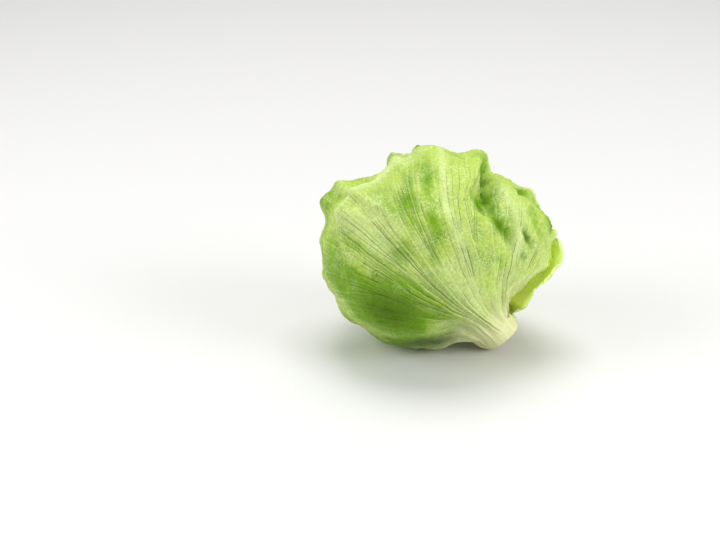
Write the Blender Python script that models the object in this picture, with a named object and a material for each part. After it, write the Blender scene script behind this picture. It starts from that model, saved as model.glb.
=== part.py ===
"""An iceberg lettuce as picked: a tight ball of wrapped leaves lying on its side, cut stem low at the right.

Metres, +Z up, seen from the front along +Y. The origin is on the table under the middle of the head.
Every leaf is one blade laid over the ball. A leaf has two coordinates: side, from -1 to 1 across it,
and run, from 0 at the stem to 1 at its edge. Its outline is drawn in degrees of arc on the ball,
as seen by someone who faces the middle of that leaf, with x to the right and y up.
"""

import math

import bmesh
import bpy
import numpy as np
from mathutils import Vector

# The ball of leaves
HALF_LENGTH = 0.086
HALF_DEPTH = 0.080
HALF_HEIGHT = 0.077
MIDDLE_HEIGHT = 0.0745
LAYER = 0.0030

# The stem's slope below level and its turn from the right towards the front, in degrees
STEM_SLOPE = 51.0
STEM_TURN = 15.6

# The rounded nub of leaf bases round the stem, and the groove round the nub
NUB_RADIUS = 0.0195
NUB_MIDDLE = 0.0710
NUB_START = 9.2
NUB_BLEND = 0.005
GROOVE_DEPTH = 0.0085
GROOVE_AWAY = 24.0
GROOVE_WIDTH = 9.0

# Where the neck runs out smoothly into the ball with hardly a groove, as turn round the stem from the
# front, half width in degrees and share of the groove filled
NECK_FLARE = (0.0, 42.0, 1.0)

# The stem's outline, as height along its axis from the ball's middle and radius
STEM_PROFILE = ((0.0300, 0.0), (0.0340, 0.0040), (0.0500, 0.0075), (0.0600, 0.0095), (0.0665, 0.0105),
                (0.0695, 0.0145), (0.0745, 0.0155), (0.0790, 0.0146), (0.0832, 0.0116), (0.0860, 0.0112),
                (0.0865, 0.0104), (0.0865, 0.0))
STEM_SIDES = 28
GAP = 0.0008

# The angle from the stem's axis at which an inner leaf starts, and the share of its length that it takes
# to come out from the stem to its place on the ball
INNER_START = 12.5
RISE_FROM_STEM = 0.16

# Blade thickness at the stem and at the edge, and the share of the length over which it thins
BASE_THICKNESS = 0.0019
EDGE_THICKNESS = 0.0010
THINS_OVER = 0.45

# Where each leaf faces (degrees round from the front, degrees up), its layer counted inwards from the
# front leaf, where its base clasps the stem (middle and half width, degrees round the stem from the
# front), how far from the ball's middle an inner leaf leaves the stem, how its edge sweeps round
# (middle and half width in degrees), how far its edge reaches at angles round it, and the point of its
# view that bends each vein, from side -1 to side 1.
LEAVES = {
    "front_leaf": dict(
        faces=(0.0, 22.0), layer=0.0, clasp=(-8.0, 81.0), leaves_stem=None, sweep=(135.0, 148.0),
        edge=((-13, 83), (-2, 90), (12, 88), (31, 86), (45, 89), (60, 94), (75, 100), (90, 99), (103, 93),
              (117, 91), (130, 99), (150, 115), (170, 111), (195, 104), (225, 112), (255, 131), (283, 136)),
        bends=((-1.0, 36, -96), (-0.5, -12, -30), (0.0, 2, -5), (0.5, 12, -7), (1.0, 45, -23)),
        ruffle=(13, 0.0030, 0.4), lift=0.0015, grid=(54, 30),
    ),
    "back_leaf": dict(
        faces=(180.0, -22.0), layer=1.0, clasp=(172.0, 81.0), leaves_stem=None, sweep=(61.5, 136.5),
        edge=((-75, 56), (-60, 52), (-30, 48), (0, 46), (45, 52), (90, 68), (120, 84), (150, 88), (165, 86),
              (173, 86), (177, 89), (182, 99), (188, 103), (198, 104)),
        bends=((-1.0, -98, -70), (-0.5, -60, -10), (0.0, -15, -15), (0.5, 0, -50), (1.0, -28, -70)),
        ruffle=(12, 0.0045, 1.9), lift=0.0030, grid=(36, 25),
    ),
    "left_leaf": dict(
        faces=(-125.0, 0.0), layer=2.0, clasp=(-120.0, 60.0), leaves_stem=0.0650, sweep=(85.0, 130.0),
        edge=((-45, 62), (0, 68), (45, 72), (85, 74), (130, 70), (180, 64), (215, 60)),
        bends=((-1.0, -50, -80), (0.0, -5, -30), (1.0, 15, -85)),
        ruffle=(11, 0.0045, 0.9), lift=0.0030, grid=(24, 16),
    ),
    "top_leaf": dict(
        faces=(165.0, 50.0), layer=3.0, clasp=(95.0, 60.0), leaves_stem=0.0620, sweep=(40.0, 125.0),
        edge=((-85, 56), (-40, 60), (0, 64), (45, 72), (90, 74), (130, 74), (165, 70)),
        bends=((-1.0, -95, -20), (0.0, -20, -5), (1.0, -50, -75)),
        ruffle=(11, 0.0042, 2.4), lift=0.0025, grid=(22, 15),
    ),
    "lower_leaf": dict(
        faces=(-170.0, -10.0), layer=4.0, clasp=(-165.0, 60.0), leaves_stem=0.0590, sweep=(60.0, 120.0),
        edge=((-60, 66), (0, 70), (60, 74), (120, 66), (180, 60)),
        bends=((-1.0, -72, -40), (0.0, -12, -10), (1.0, -20, -75)),
        ruffle=(10, 0.0038, 3.1), lift=0.0020, grid=(20, 14),
    ),
}
OUTER_TO_INNER = ("front_leaf", "back_leaf", "left_leaf", "top_leaf", "lower_leaf")

# How far the head stands out past the plain ball round its outline as seen from the front,
# as angle from the right and height in metres.
OUTLINE = ((-90, -0.0025), (-60, -0.0015), (-30, 0.0), (0, 0.0010), (10, 0.0015), (22, 0.0),
           (31, 0.0005), (42, -0.0035), (52, -0.0035), (62, -0.0005), (75, -0.0015), (92, 0.0),
           (104, -0.0010), (115, -0.0025), (124, -0.0045), (134, -0.0030), (146, 0.0035), (158, 0.0060),
           (167, 0.0030), (180, 0.0020), (205, 0.0005), (235, -0.0010), (255, -0.0015), (270, -0.0025))

# The outline's height fades out at these angles from the middle of the view, before and behind it
OUTLINE_SPREAD = (20.0, 155.0)

# Lobes that the front leaf puffs out in, as x and y on its view, height and half width in degrees
LOBES = ((-86.0, 42.0, 0.0095, 13.0),)

# Folds, each a line on the front leaf's view from start to end (degrees), with its height at both
# ends in metres (below zero for a valley) and its half widths to the left and right (degrees).
VALLEYS = (
    ((35.0, 60.0), (34.0, 32.0), -0.0080, -0.0085, 6.0, 5.0),
    ((36.0, 26.0), (41.0, 5.0), -0.0060, -0.0035, 5.0, 5.0),
    ((-76.0, 28.0), (-52.0, 54.0), -0.0040, -0.0025, 6.0, 7.0),
    ((22.0, -66.0), (-14.0, -30.0), -0.0035, -0.0015, 8.0, 8.0),
)
# How much wider and deeper the valleys are in the layers under the front leaf
INNER_VALLEYS = (1.35, 1.1)
RIDGES = (
    ((41.0, 86.0), (23.0, 38.0), 0.0048, 0.0015, 12.0, 3.0),
    ((49.0, 58.0), (45.0, 4.0), 0.0025, 0.0030, 5.0, 9.0),
    ((-72.0, 20.0), (-22.0, 64.0), 0.0030, 0.0030, 8.0, 6.0),
    ((44.0, -64.0), (-6.0, -12.0), 0.0060, 0.0005, 14.0, 9.0),
)

# Curls where the front leaf's edge stands up, as angle round it, height in metres and half width in degrees
CURLS = ((118.0, 0.0060, 4.5), (101.0, 0.0045, 4.0), (33.0, 0.0030, 5.0), (9.0, 0.0025, 6.0))

# The back leaf's flared collar at the right, as angle on the front view and height in metres
COLLAR = ((-40, 0.0), (-28, -0.0005), (-18, 0.0005), (-14, 0.0025), (-9, 0.0065), (-3, 0.0100), (2, 0.0095),
          (8, 0.0040), (14, 0.0))
COLLAR_OUTSIDE = (-38.0, 9.0)

# The dense inner head: its hollow round the stem's tip and its shoulder, as angle from the stem's axis
# and radius, then the leaf folds on it, each with where it faces (turn and rise), how far it reaches
# (degrees) and how it waves (count and size in degrees).
HOLLOW = ((0.0, 0.0292), (8.8, 0.0334), (10.7, 0.0525), (13.5, 0.0520))
HEAD_RINGS = 22
HEAD_SIDES = 38
FOLD_STEP = 0.0012
FOLDS = ((20.0, 60.0, 95.0, 5, 4.0), (-110.0, 50.0, 88.0, 6, 4.0), (130.0, 45.0, 78.0, 7, 4.0),
         (-30.0, 70.0, 62.0, 6, 5.0), (-150.0, 65.0, 46.0, 5, 5.0))

# Each piece's own colour, green outside and paler inwards
COLOURS = {
    "front_leaf": (0.38, 0.56, 0.12),
    "back_leaf": (0.34, 0.53, 0.09),
    "left_leaf": (0.40, 0.58, 0.14),
    "top_leaf": (0.44, 0.60, 0.17),
    "lower_leaf": (0.48, 0.62, 0.20),
    "inner_head": (0.60, 0.68, 0.30),
    "stem": (0.68, 0.70, 0.44),
}

CENTRE = np.array([0.0, 0.0, MIDDLE_HEIGHT])
SIZES = np.array([HALF_LENGTH, HALF_DEPTH, HALF_HEIGHT])
UP = np.array([0.0, 0.0, 1.0])
FRONT = np.array([0.0, -1.0, 0.0])


def unit(v):
    return v / np.linalg.norm(v, axis=-1, keepdims=True)


def heading(turn, rise):
    """A direction turned round from the front towards the right and raised, in degrees."""
    turn, rise = math.radians(turn), math.radians(rise)
    return np.array([math.sin(turn) * math.cos(rise), -math.cos(turn) * math.cos(rise), math.sin(rise)])


STEM_WAY = heading(90.0 - STEM_TURN, -STEM_SLOPE)
STEM_FRONT = unit(FRONT - (FRONT @ STEM_WAY) * STEM_WAY)
STEM_SIDE = np.cross(-STEM_WAY, STEM_FRONT)


def soft_max(a, b, softness):
    top = np.maximum(a, b)
    return top + softness * np.log(np.exp((a - top) / softness) + np.exp((b - top) / softness))


def ease(x):
    """0 below 0, 1 above 1 and smooth between."""
    x = np.clip(x, 0.0, 1.0)
    return x * x * (3.0 - 2.0 * x)


def curve(knots, at):
    """A smooth line through knots, each a place and its values, read at the places given."""
    knots = np.array(knots, float)
    places, values = knots[:, 0], knots[:, 1:]
    slopes = np.gradient(values, places, axis=0)
    at = np.clip(at, places[0], places[-1])
    i = np.clip(np.searchsorted(places, at) - 1, 0, len(places) - 2)
    width = (places[i + 1] - places[i])[..., None]
    t = (at - places[i])[..., None] / width
    near = (2 * t ** 3 - 3 * t ** 2 + 1) * values[i] + (t ** 3 - 2 * t ** 2 + t) * width * slopes[i]
    return near + (3 * t ** 2 - 2 * t ** 3) * values[i + 1] + (t ** 3 - t ** 2) * width * slopes[i + 1]


def wrapped(angle, middle):
    """An angle in degrees brought to within half a turn of middle."""
    return (angle - middle + 180.0) % 360.0 - 180.0 + middle


def facing(leaf):
    """The way a leaf faces, and the right and up of someone who looks at it."""
    out = heading(*leaf["faces"])
    up = unit(UP - out[2] * out)
    return out, np.cross(up, out), up


def to_polar(leaf, way):
    """How far directions lie from the middle of a leaf's view, and at what angle, in degrees."""
    out, right, up = facing(leaf)
    away = np.degrees(np.arccos(np.clip(way @ out, -1.0, 1.0)))
    return away, np.degrees(np.arctan2(way @ up, way @ right))


def spoke(angle):
    angle = np.radians(angle)
    return np.stack([np.cos(angle), np.sin(angle)], axis=-1)


def to_view(leaf, way):
    """Directions from the ball's middle, as x and y in degrees on a leaf's view."""
    away, angle = to_polar(leaf, way)
    return away[..., None] * spoke(angle)


def from_view(leaf, xy):
    out, right, up = facing(leaf)
    away = np.linalg.norm(xy, axis=-1, keepdims=True)
    spin = xy / np.maximum(away, 1e-9)
    away = np.radians(away)
    return np.cos(away) * out + np.sin(away) * (spin[..., :1] * right + spin[..., 1:] * up)


def round_stem(turn, away):
    """Directions at an angle away from the stem's axis, turned round it from the front."""
    turn, away = np.radians(turn), np.radians(away)
    turn, away = (a[..., None] for a in np.broadcast_arrays(turn, away))
    return np.cos(away) * STEM_WAY + np.sin(away) * (np.cos(turn) * STEM_FRONT + np.sin(turn) * STEM_SIDE)


def reach(leaf, angle):
    """How far a leaf's edge lies from the middle of its view, in degrees, at an angle in degrees."""
    return curve(leaf["edge"], wrapped(angle, leaf["sweep"][0]))[..., 0]


def fold_height(folds, xy, wider, deeper):
    total = np.zeros(len(xy))
    for start, end, first, last, left, right in folds:
        start, along = np.array(start), np.array(end) - np.array(start)
        length = np.linalg.norm(along)
        along = along / length
        share = (xy - start) @ along / length
        across = (xy - start) @ np.array([along[1], -along[0]])
        width = np.where(across > 0, left, right) * wider
        ends = ease((share + 0.18) / 0.3) * ease((1.18 - share) / 0.3)
        height = (first + (last - first) * np.clip(share, 0, 1)) * deeper
        total += height * np.exp(-((across / width) ** 2)) * ends
    return total


def ball_radius(way, depth, outermost, at_stem):
    """The ball's radius in each direction, for a layer that lies depth under the front leaf."""
    away, angle = to_polar(LEAVES["front_leaf"], way)
    xy = away[..., None] * spoke(angle)
    outline = curve(OUTLINE, wrapped(angle, 90.0))[..., 0]
    if not outermost:
        outline = np.minimum(outline, 0.0)
    ball = 1.0 / np.linalg.norm(way / SIZES, axis=-1) - depth
    front, back = OUTLINE_SPREAD
    ball = ball + outline * ease((away - front) / (90.0 - front)) * ease((back - away) / (back - 90.0))
    from_stem = np.degrees(np.arccos(np.clip(way @ STEM_WAY, -1.0, 1.0)))
    turn = np.degrees(np.arctan2(way @ STEM_SIDE, way @ STEM_FRONT))
    middle, half, share = NECK_FLARE
    groove = GROOVE_DEPTH * (1.0 - share * np.exp(-((wrapped(turn, middle) - middle) / half) ** 2))
    ball = ball - groove * np.exp(-((np.maximum(from_stem - GROOVE_AWAY, 0.0) / GROOVE_WIDTH) ** 2))
    wider, deeper = (1.0, 1.0) if outermost else INNER_VALLEYS
    ball = ball + fold_height(VALLEYS, xy, wider, deeper)
    if outermost:
        ball = ball + fold_height(RIDGES, xy, 1.0, 1.0)
        for x, y, height, half in LOBES:
            ball = ball + height * np.exp(-((xy[:, 0] - x) ** 2 + (xy[:, 1] - y) ** 2) / half ** 2)
    if at_stem:
        aslant = NUB_MIDDLE * np.sin(np.radians(from_stem))
        cap = np.sqrt(np.maximum(NUB_RADIUS ** 2 - aslant ** 2, 0.0))
        nub = NUB_MIDDLE * np.cos(np.radians(from_stem)) + cap
        nub = nub - NUB_MIDDLE * ease((from_stem - NUB_START) / 40.0)
        ball = soft_max(ball, nub, NUB_BLEND)
    return ball


def covered(leaf, way, clear):
    """1 where a leaf hides what is under it, fading to 0 at clear degrees outside its edge."""
    away, angle = to_polar(leaf, way)
    return ease((reach(leaf, angle) - away + clear) / clear)


def leaf_ways(leaf, side, run):
    """The direction from the ball's middle to each point of a leaf."""
    clasp, half_clasp = leaf["clasp"]
    first = NUB_START if leaf["leaves_stem"] is None else INNER_START
    start = to_view(leaf, round_stem(clasp + side * half_clasp, first))
    bend = curve(leaf["bends"], side)
    middle, half = leaf["sweep"]
    angle = middle - half * side
    end = reach(leaf, angle)[..., None] * spoke(angle)
    s = (run ** 1.15)[..., None]
    return unit(from_view(leaf, (1 - s) ** 2 * start + 2 * s * (1 - s) * bend + s ** 2 * end))


def nearness(side, run):
    """1 on a leaf's free edge, falling inwards, and 0 near the stem."""
    inside = np.minimum(1.0 - run, 0.9 * (1.0 - np.abs(side)) + 0.6 * (1.0 - ease(run / 0.35)))
    return 1.0 - inside


def edge_lift(name, side, run, way):
    """How far a leaf's edge stands off the ball: a slow lift and ruffles that grow towards the edge."""
    leaf = LEAVES[name]
    count, height, start = leaf["ruffle"]
    near = nearness(side, run)
    place = side * (1.8 - 0.8 * run)
    wave = 0.5 + 0.5 * np.sin(math.pi * count * place + start + 1.3 * np.sin(5.0 * place + start))
    small = 0.5 + 0.5 * np.sin(math.pi * 2.7 * count * place + 2.0 * start)
    lift = leaf["lift"] * ease((near - 0.70) / 0.3)
    lift = lift + height * wave * ease((near - 0.74) / 0.26) + 0.3 * height * small * ease((near - 0.88) / 0.12)
    for other in OUTER_TO_INNER[: OUTER_TO_INNER.index(name)]:
        lift = lift * (1.0 - covered(LEAVES[other], way, 10.0))
    if name == "front_leaf":
        lift = lift * (1.0 - 0.8 * under_collar(way))
        _, angle = to_polar(leaf, way)
        for at, height, half in CURLS:
            lift = lift + height * np.exp(-((angle - at) / half) ** 2) * ease((near - 0.85) / 0.15)
    return lift


def under_collar(way):
    """1 in the directions where the back leaf lies over the front leaf, and 0 elsewhere."""
    _, angle = to_polar(LEAVES["front_leaf"], way)
    first, last = COLLAR_OUTSIDE
    return ease((angle - first) / 6.0) * ease((last - angle) / 6.0)


def collar(side, run, way):
    """How far the back leaf goes out past the front leaf where it flares at the right."""
    _, angle = to_polar(LEAVES["front_leaf"], way)
    flare = curve(COLLAR, angle)[..., 0] * ease((nearness(side, run) - 0.55) / 0.45)
    return 2.0 * LAYER * under_collar(way) + flare


def stem_radius(height):
    heights, radii = zip(*STEM_PROFILE[:-1])
    return float(np.interp(height, heights, radii))


def leaf_points(name, side, run):
    """The outer face of a leaf, as points in metres."""
    leaf = LEAVES[name]
    inner = leaf["leaves_stem"] is not None
    depth = leaf["layer"] * LAYER
    way = leaf_ways(leaf, side, run)
    if name == "back_leaf":
        from_stem = np.degrees(np.arccos(np.clip(way @ STEM_WAY, -1.0, 1.0)))
        depth = depth * ease((from_stem - 14.0) / 10.0)
    radius = ball_radius(way, depth, name == "front_leaf", not inner) + edge_lift(name, side, run, way)
    if name == "back_leaf":
        radius = radius + collar(side, run, way)
    points = CENTRE + radius[..., None] * way
    if inner:
        clasp, half_clasp = leaf["clasp"]
        height = leaf["leaves_stem"]
        out = unit(round_stem(clasp + side * half_clasp, 90.0))
        at_stem = CENTRE + height * STEM_WAY + (stem_radius(height) + GAP) * out
        points = at_stem + (points - at_stem) * ease(run / RISE_FROM_STEM)[..., None]
    points[..., 2] = np.maximum(points[..., 2], np.broadcast_to(np.maximum(depth, 0.0), run.shape))
    return points


def head_radius(way, from_stem, turn):
    """The inner head's radius: a ball under the innermost leaf, with overlapping leaf folds raised on it."""
    radius = ball_radius(way, 5.0 * LAYER + len(FOLDS) * FOLD_STEP, False, False)
    raised = np.zeros(len(way))
    for fold_turn, fold_rise, fold_reach, count, size in FOLDS:
        away, angle = to_polar(dict(faces=(fold_turn, fold_rise)), way)
        edge = fold_reach + size * np.sin(np.radians(count * angle + fold_turn))
        raised += FOLD_STEP * ease((edge - away) / 5.0)
    return radius + raised * ease((from_stem - 18.0) / 10.0)


def make_inner_head(colour):
    bm = bmesh.new()
    bmesh.ops.create_uvsphere(bm, u_segments=HEAD_SIDES, v_segments=HEAD_RINGS, radius=1.0)
    start = np.array([v.co[:] for v in bm.verts])
    ring = np.round(np.degrees(np.arccos(np.clip(start[:, 2], -1, 1))) / 180.0 * HEAD_RINGS)
    hollow_rings = len(HOLLOW)
    angles = [a for a, _ in HOLLOW] + list(np.linspace(17.0, 180.0, HEAD_RINGS + 1 - hollow_rings))
    from_stem = np.array(angles)[ring.astype(int)]
    turn = np.degrees(np.arctan2(start[:, 1], start[:, 0]))
    way = round_stem(turn, from_stem)
    radius = head_radius(way, from_stem, turn)
    for index, (_, hollow) in enumerate(HOLLOW):
        radius = np.where(ring == index, hollow, radius)
    for vertex, point in zip(bm.verts, CENTRE + radius[:, None] * way):
        vertex.co = point
    bmesh.ops.recalc_face_normals(bm, faces=bm.faces)
    return as_object("inner_head", bm, finish("inner_head", colour, 0.5))


def make_stem(colour):
    bm = bmesh.new()
    outline = [bm.verts.new((radius, 0.0, height)) for height, radius in STEM_PROFILE]
    edges = [bm.edges.new(pair) for pair in zip(outline, outline[1:])]
    bmesh.ops.spin(bm, geom=outline + edges, cent=(0, 0, 0), axis=(0, 0, 1), angle=math.tau, steps=STEM_SIDES)
    bmesh.ops.remove_doubles(bm, verts=bm.verts, dist=1e-5)
    bmesh.ops.recalc_face_normals(bm, faces=bm.faces)
    made = as_object("stem", bm, finish("stem", colour, 0.55))
    made.location = CENTRE
    made.rotation_mode = "QUATERNION"
    made.rotation_quaternion = Vector((0.0, 0.0, 1.0)).rotation_difference(Vector(STEM_WAY))
    return made


def finish(name, colour, roughness):
    material = bpy.data.materials.new(name)
    material.use_nodes = True
    shader = material.node_tree.nodes["Principled BSDF"]
    shader.inputs["Base Color"].default_value = (*colour, 1.0)
    shader.inputs["Roughness"].default_value = roughness
    return material


def as_object(name, bm, material):
    mesh = bpy.data.meshes.new(name)
    bm.to_mesh(mesh)
    bm.free()
    mesh.shade_smooth()
    made = bpy.data.objects.new(name, mesh)
    bpy.context.scene.collection.objects.link(made)
    mesh.materials.append(material)
    return made


def make_leaf(name, colour):
    """A blade: a grid of triangles laid over the ball, thickened inwards."""
    across, along = LEAVES[name]["grid"]
    bm = bmesh.new()
    bmesh.ops.create_grid(bm, x_segments=across, y_segments=along, size=1.0)
    bmesh.ops.triangulate(bm, faces=bm.faces, quad_method="FIXED")
    flat = np.array([v.co[:] for v in bm.verts])
    side, run = flat[:, 0], 0.5 * (flat[:, 1] + 1.0)
    for vertex, point in zip(bm.verts, leaf_points(name, side, run)):
        vertex.co = point
    bm.normal_update()
    if sum((f.calc_center_median() - Vector(CENTRE)).dot(f.normal) for f in bm.faces) < 0:
        bmesh.ops.reverse_faces(bm, faces=bm.faces)
    made = as_object(name, bm, finish(name, colour, 0.42))
    thin = made.vertex_groups.new(name="thickness")
    for index, share in enumerate(run):
        thin.add([index], float(1.0 - ease(np.array(share / THINS_OVER))), "REPLACE")
    solid = made.modifiers.new("blade", "SOLIDIFY")
    solid.thickness = BASE_THICKNESS if LEAVES[name]["leaves_stem"] is None else EDGE_THICKNESS
    solid.offset = -1.0
    solid.use_even_offset = False
    solid.vertex_group = "thickness"
    solid.thickness_vertex_group = EDGE_THICKNESS / solid.thickness
    return made


def clear_scene():
    for old in list(bpy.data.objects):
        bpy.data.objects.remove(old, do_unlink=True)


def main():
    clear_scene()
    for name in OUTER_TO_INNER:
        make_leaf(name, COLOURS[name])
    make_inner_head(COLOURS["inner_head"])
    make_stem(COLOURS["stem"])


main()
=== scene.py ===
"""A head of iceberg lettuce lying on its side on a pale table, seen from the front and a little above.

Metres, +Z up, with the front towards -Y. Every leaf is one sheet laid over a ball, with two coordinates:
side, from -1 to 1 across it, and run, from 0 at the stem to 1 at its edge. Its outline is drawn in degrees
of arc, as seen by someone who faces the middle of that leaf, with x to the right and y up.
"""
import math

import bmesh
import bpy
import numpy as np
from mathutils import Matrix, Vector


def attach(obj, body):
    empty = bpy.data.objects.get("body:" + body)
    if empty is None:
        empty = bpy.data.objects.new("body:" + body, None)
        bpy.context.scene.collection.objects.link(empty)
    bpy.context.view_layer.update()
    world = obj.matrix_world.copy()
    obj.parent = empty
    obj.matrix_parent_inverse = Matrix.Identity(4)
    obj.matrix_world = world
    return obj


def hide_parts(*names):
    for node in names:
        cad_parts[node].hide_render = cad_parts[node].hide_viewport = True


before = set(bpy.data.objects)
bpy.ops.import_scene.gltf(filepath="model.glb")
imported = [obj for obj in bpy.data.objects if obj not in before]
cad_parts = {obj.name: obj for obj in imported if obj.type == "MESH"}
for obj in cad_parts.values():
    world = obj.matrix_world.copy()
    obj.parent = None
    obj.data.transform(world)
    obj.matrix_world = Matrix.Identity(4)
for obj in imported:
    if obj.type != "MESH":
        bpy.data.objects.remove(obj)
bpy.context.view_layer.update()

# The ball of leaves: half its size each way, the height of its middle, and the depth from leaf to leaf
HALF_LENGTH = 0.086
HALF_DEPTH = 0.080
HALF_HEIGHT = 0.077
MIDDLE_HEIGHT = 0.0745
LAYER = 0.0030

# The stem's slope below level and its turn from the right towards the front, in degrees
STEM_SLOPE = 51.0
STEM_TURN = 15.6

# The rounded nub of leaf bases round the stem, and the groove round the nub, which is shallower on one side:
# the middle and half width of that side in degrees round the stem, and how much of the groove it loses
NUB_RADIUS = 0.0195
NUB_MIDDLE = 0.0710
NUB_START = 9.2
NUB_BLEND = 0.005
GROOVE_DEPTH = 0.0085
GROOVE_AWAY = 24.0
GROOVE_WIDTH = 9.0
NECK_FLARE = (-14.0, 60.0, 1.0)

# How the front tapers to the nub: depth in metres, where it starts and ends from the stem, over how far it
# comes in and goes out, and its middle and half width round the stem, in degrees
TAPER = (0.0130, 10.0, 24.0, 86.0, 46.0, 4.0, 47.0)

# The stem's outline as height along its axis from the ball's middle and radius
STEM_PROFILE = ((0.0300, 0.0), (0.0340, 0.0040), (0.0500, 0.0075), (0.0600, 0.0095), (0.0665, 0.0105),
                (0.0695, 0.0145), (0.0745, 0.0155), (0.0790, 0.0146), (0.0832, 0.0116), (0.0860, 0.0112),
                (0.0865, 0.0104), (0.0865, 0.0))
STEM_SIDES = 96

# An inner leaf's base: its gap to the stem, its degrees from the stem, and the run over which it rises
GAP = 0.0008
INNER_START = 12.5
RISE_FROM_STEM = 0.16

# A leaf's thickness, and the run over which it thins
BASE_THICKNESS = 0.0019
EDGE_THICKNESS = 0.0007
THINS_OVER = 0.45

# Where each leaf faces, its layer counted inwards, where its base clasps the stem and how high it leaves it,
# how its edge sweeps round and how far it reaches, the bends of its veins from side -1 to side 1, its ruffles
# as count, height and start, the lift of its edge, the number of ribs across it, its grid and its seed
LEAVES = {
    "front_leaf": dict(
        faces=(0.0, 22.0), layer=0.0, clasp=(8.0, 104.0), leaves_stem=None, sweep=(135.0, 148.0),
        edge=((-13, 83), (-2, 90), (12, 88), (31, 86), (45, 89), (60, 94), (75, 100), (90, 99), (103, 93),
              (117, 91), (130, 99), (150, 115), (170, 111), (195, 104), (225, 112), (255, 131), (283, 136)),
        bends=((-1.0, 36, -96), (-0.78, -8, -56), (-0.54, -20, -20), (-0.34, -26, -2), (-0.12, -31, 1),
               (0.02, -30, -1), (0.105, -28, -6), (0.204, -24, -14), (0.30, -18, -14), (0.42, -15, -12),
               (0.49, -3, -7), (0.59, 7, 0), (0.81, 28, -9), (1.0, 58, -31)),
        ruffle=(13, 0.0030, 0.4), lift=0.0015, ribs=32, grid=(300, 160), seed=3,
    ),
    "back_leaf": dict(
        faces=(180.0, -22.0), layer=1.0, clasp=(184.0, 69.0), leaves_stem=None, sweep=(61.5, 136.5),
        edge=((-75, 56), (-60, 52), (-30, 48), (0, 46), (45, 52), (90, 68), (120, 84), (150, 88), (165, 86),
              (173, 86), (177, 89), (182, 99), (188, 103), (198, 104)),
        bends=((-1.0, -98, -70), (-0.5, -60, -10), (0.0, -15, -15), (0.5, 0, -50), (1.0, -28, -70)),
        ruffle=(12, 0.0045, 1.9), lift=0.0030, ribs=26, grid=(240, 150), seed=5,
    ),
    "left_leaf": dict(
        faces=(-125.0, 0.0), layer=2.0, clasp=(-120.0, 60.0), leaves_stem=0.0650, sweep=(85.0, 130.0),
        edge=((-45, 62), (0, 68), (45, 72), (85, 74), (130, 70), (180, 64), (215, 60)),
        bends=((-1.0, -50, -80), (0.0, -5, -30), (1.0, 15, -85)),
        ruffle=(11, 0.0045, 0.9), lift=0.0030, ribs=22, grid=(170, 110), seed=7,
    ),
    "top_leaf": dict(
        faces=(165.0, 50.0), layer=3.0, clasp=(95.0, 60.0), leaves_stem=0.0620, sweep=(40.0, 125.0),
        edge=((-85, 56), (-40, 60), (0, 64), (45, 72), (90, 74), (130, 74), (165, 70)),
        bends=((-1.0, -95, -20), (0.0, -20, -5), (1.0, -50, -75)),
        ruffle=(11, 0.0042, 2.4), lift=0.0025, ribs=20, grid=(160, 100), seed=11,
    ),
    "lower_leaf": dict(
        faces=(-170.0, -10.0), layer=4.0, clasp=(-165.0, 60.0), leaves_stem=0.0590, sweep=(60.0, 120.0),
        edge=((-60, 66), (0, 70), (60, 74), (120, 66), (180, 60)),
        bends=((-1.0, -72, -40), (0.0, -12, -10), (1.0, -20, -75)),
        ruffle=(10, 0.0038, 3.1), lift=0.0020, ribs=20, grid=(130, 90), seed=13,
    ),
}
OUTER_TO_INNER = ("front_leaf", "back_leaf", "left_leaf", "top_leaf", "lower_leaf")

# How far the head stands out past the plain ball round its outline as seen from the front, as angle and
# metres, and the degrees from the middle of that view over which it comes in and goes
OUTLINE = ((-90, -0.0025), (-60, -0.0020), (-46, -0.0020), (-36, -0.0075), (-22, -0.0085), (-15, -0.0065),
           (-9, -0.0010), (0, 0.0000), (10, 0.0010), (22, -0.0015), (31, -0.0025), (42, -0.0085),
           (52, -0.0080), (59, -0.0060), (65, 0.0015), (70, -0.0030), (77, -0.0045), (84, -0.0005),
           (92, 0.0005), (104, -0.0020), (115, -0.0045), (124, -0.0070), (134, -0.0065), (141, 0.0010),
           (145, 0.0080), (150, 0.0040), (158, 0.0070), (167, 0.0010), (180, 0.0010), (205, 0.0),
           (235, -0.0010), (255, -0.0015), (270, -0.0025))
OUTLINE_SPREAD = (20.0, 155.0)

# Lobes that the front leaf puffs out in, as x and y on its view, height and half width in degrees
LOBES = ((-86.0, 42.0, 0.0060, 13.0),)

# Folds: a line on the front leaf's view from start to end, its height at both ends and its half widths
# to the left and right, in degrees
VALLEYS = (
    ((35.0, 68.0), (30.0, 36.0), -0.0110, -0.0120, 5.5, 8.5),
    ((27.0, 36.0), (22.0, 21.0), -0.0090, -0.0040, 5.0, 8.0),
    ((29.0, 32.0), (38.0, 4.0), -0.0042, -0.0042, 4.6, 3.4),
    ((-76.0, 28.0), (-52.0, 54.0), -0.0055, -0.0035, 6.0, 7.0),
    ((22.0, -66.0), (-14.0, -30.0), -0.0035, -0.0015, 8.0, 8.0),
)

# How much wider and deeper the valleys are in the layers under the front leaf
INNER_VALLEYS = (1.35, 1.1)

# Ridges, in the same form as the valleys
RIDGES = (
    ((30.0, 84.0), (13.0, 31.0), 0.0030, 0.0020, 12.0, 2.2),
    ((45.0, 56.0), (42.0, 4.0), 0.0025, 0.0030, 4.0, 9.0),
    ((-60.0, 20.0), (-42.0, 62.0), 0.0042, 0.0034, 6.0, 3.2),
    ((44.0, -64.0), (-6.0, -12.0), 0.0060, 0.0005, 14.0, 9.0),
)

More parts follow.
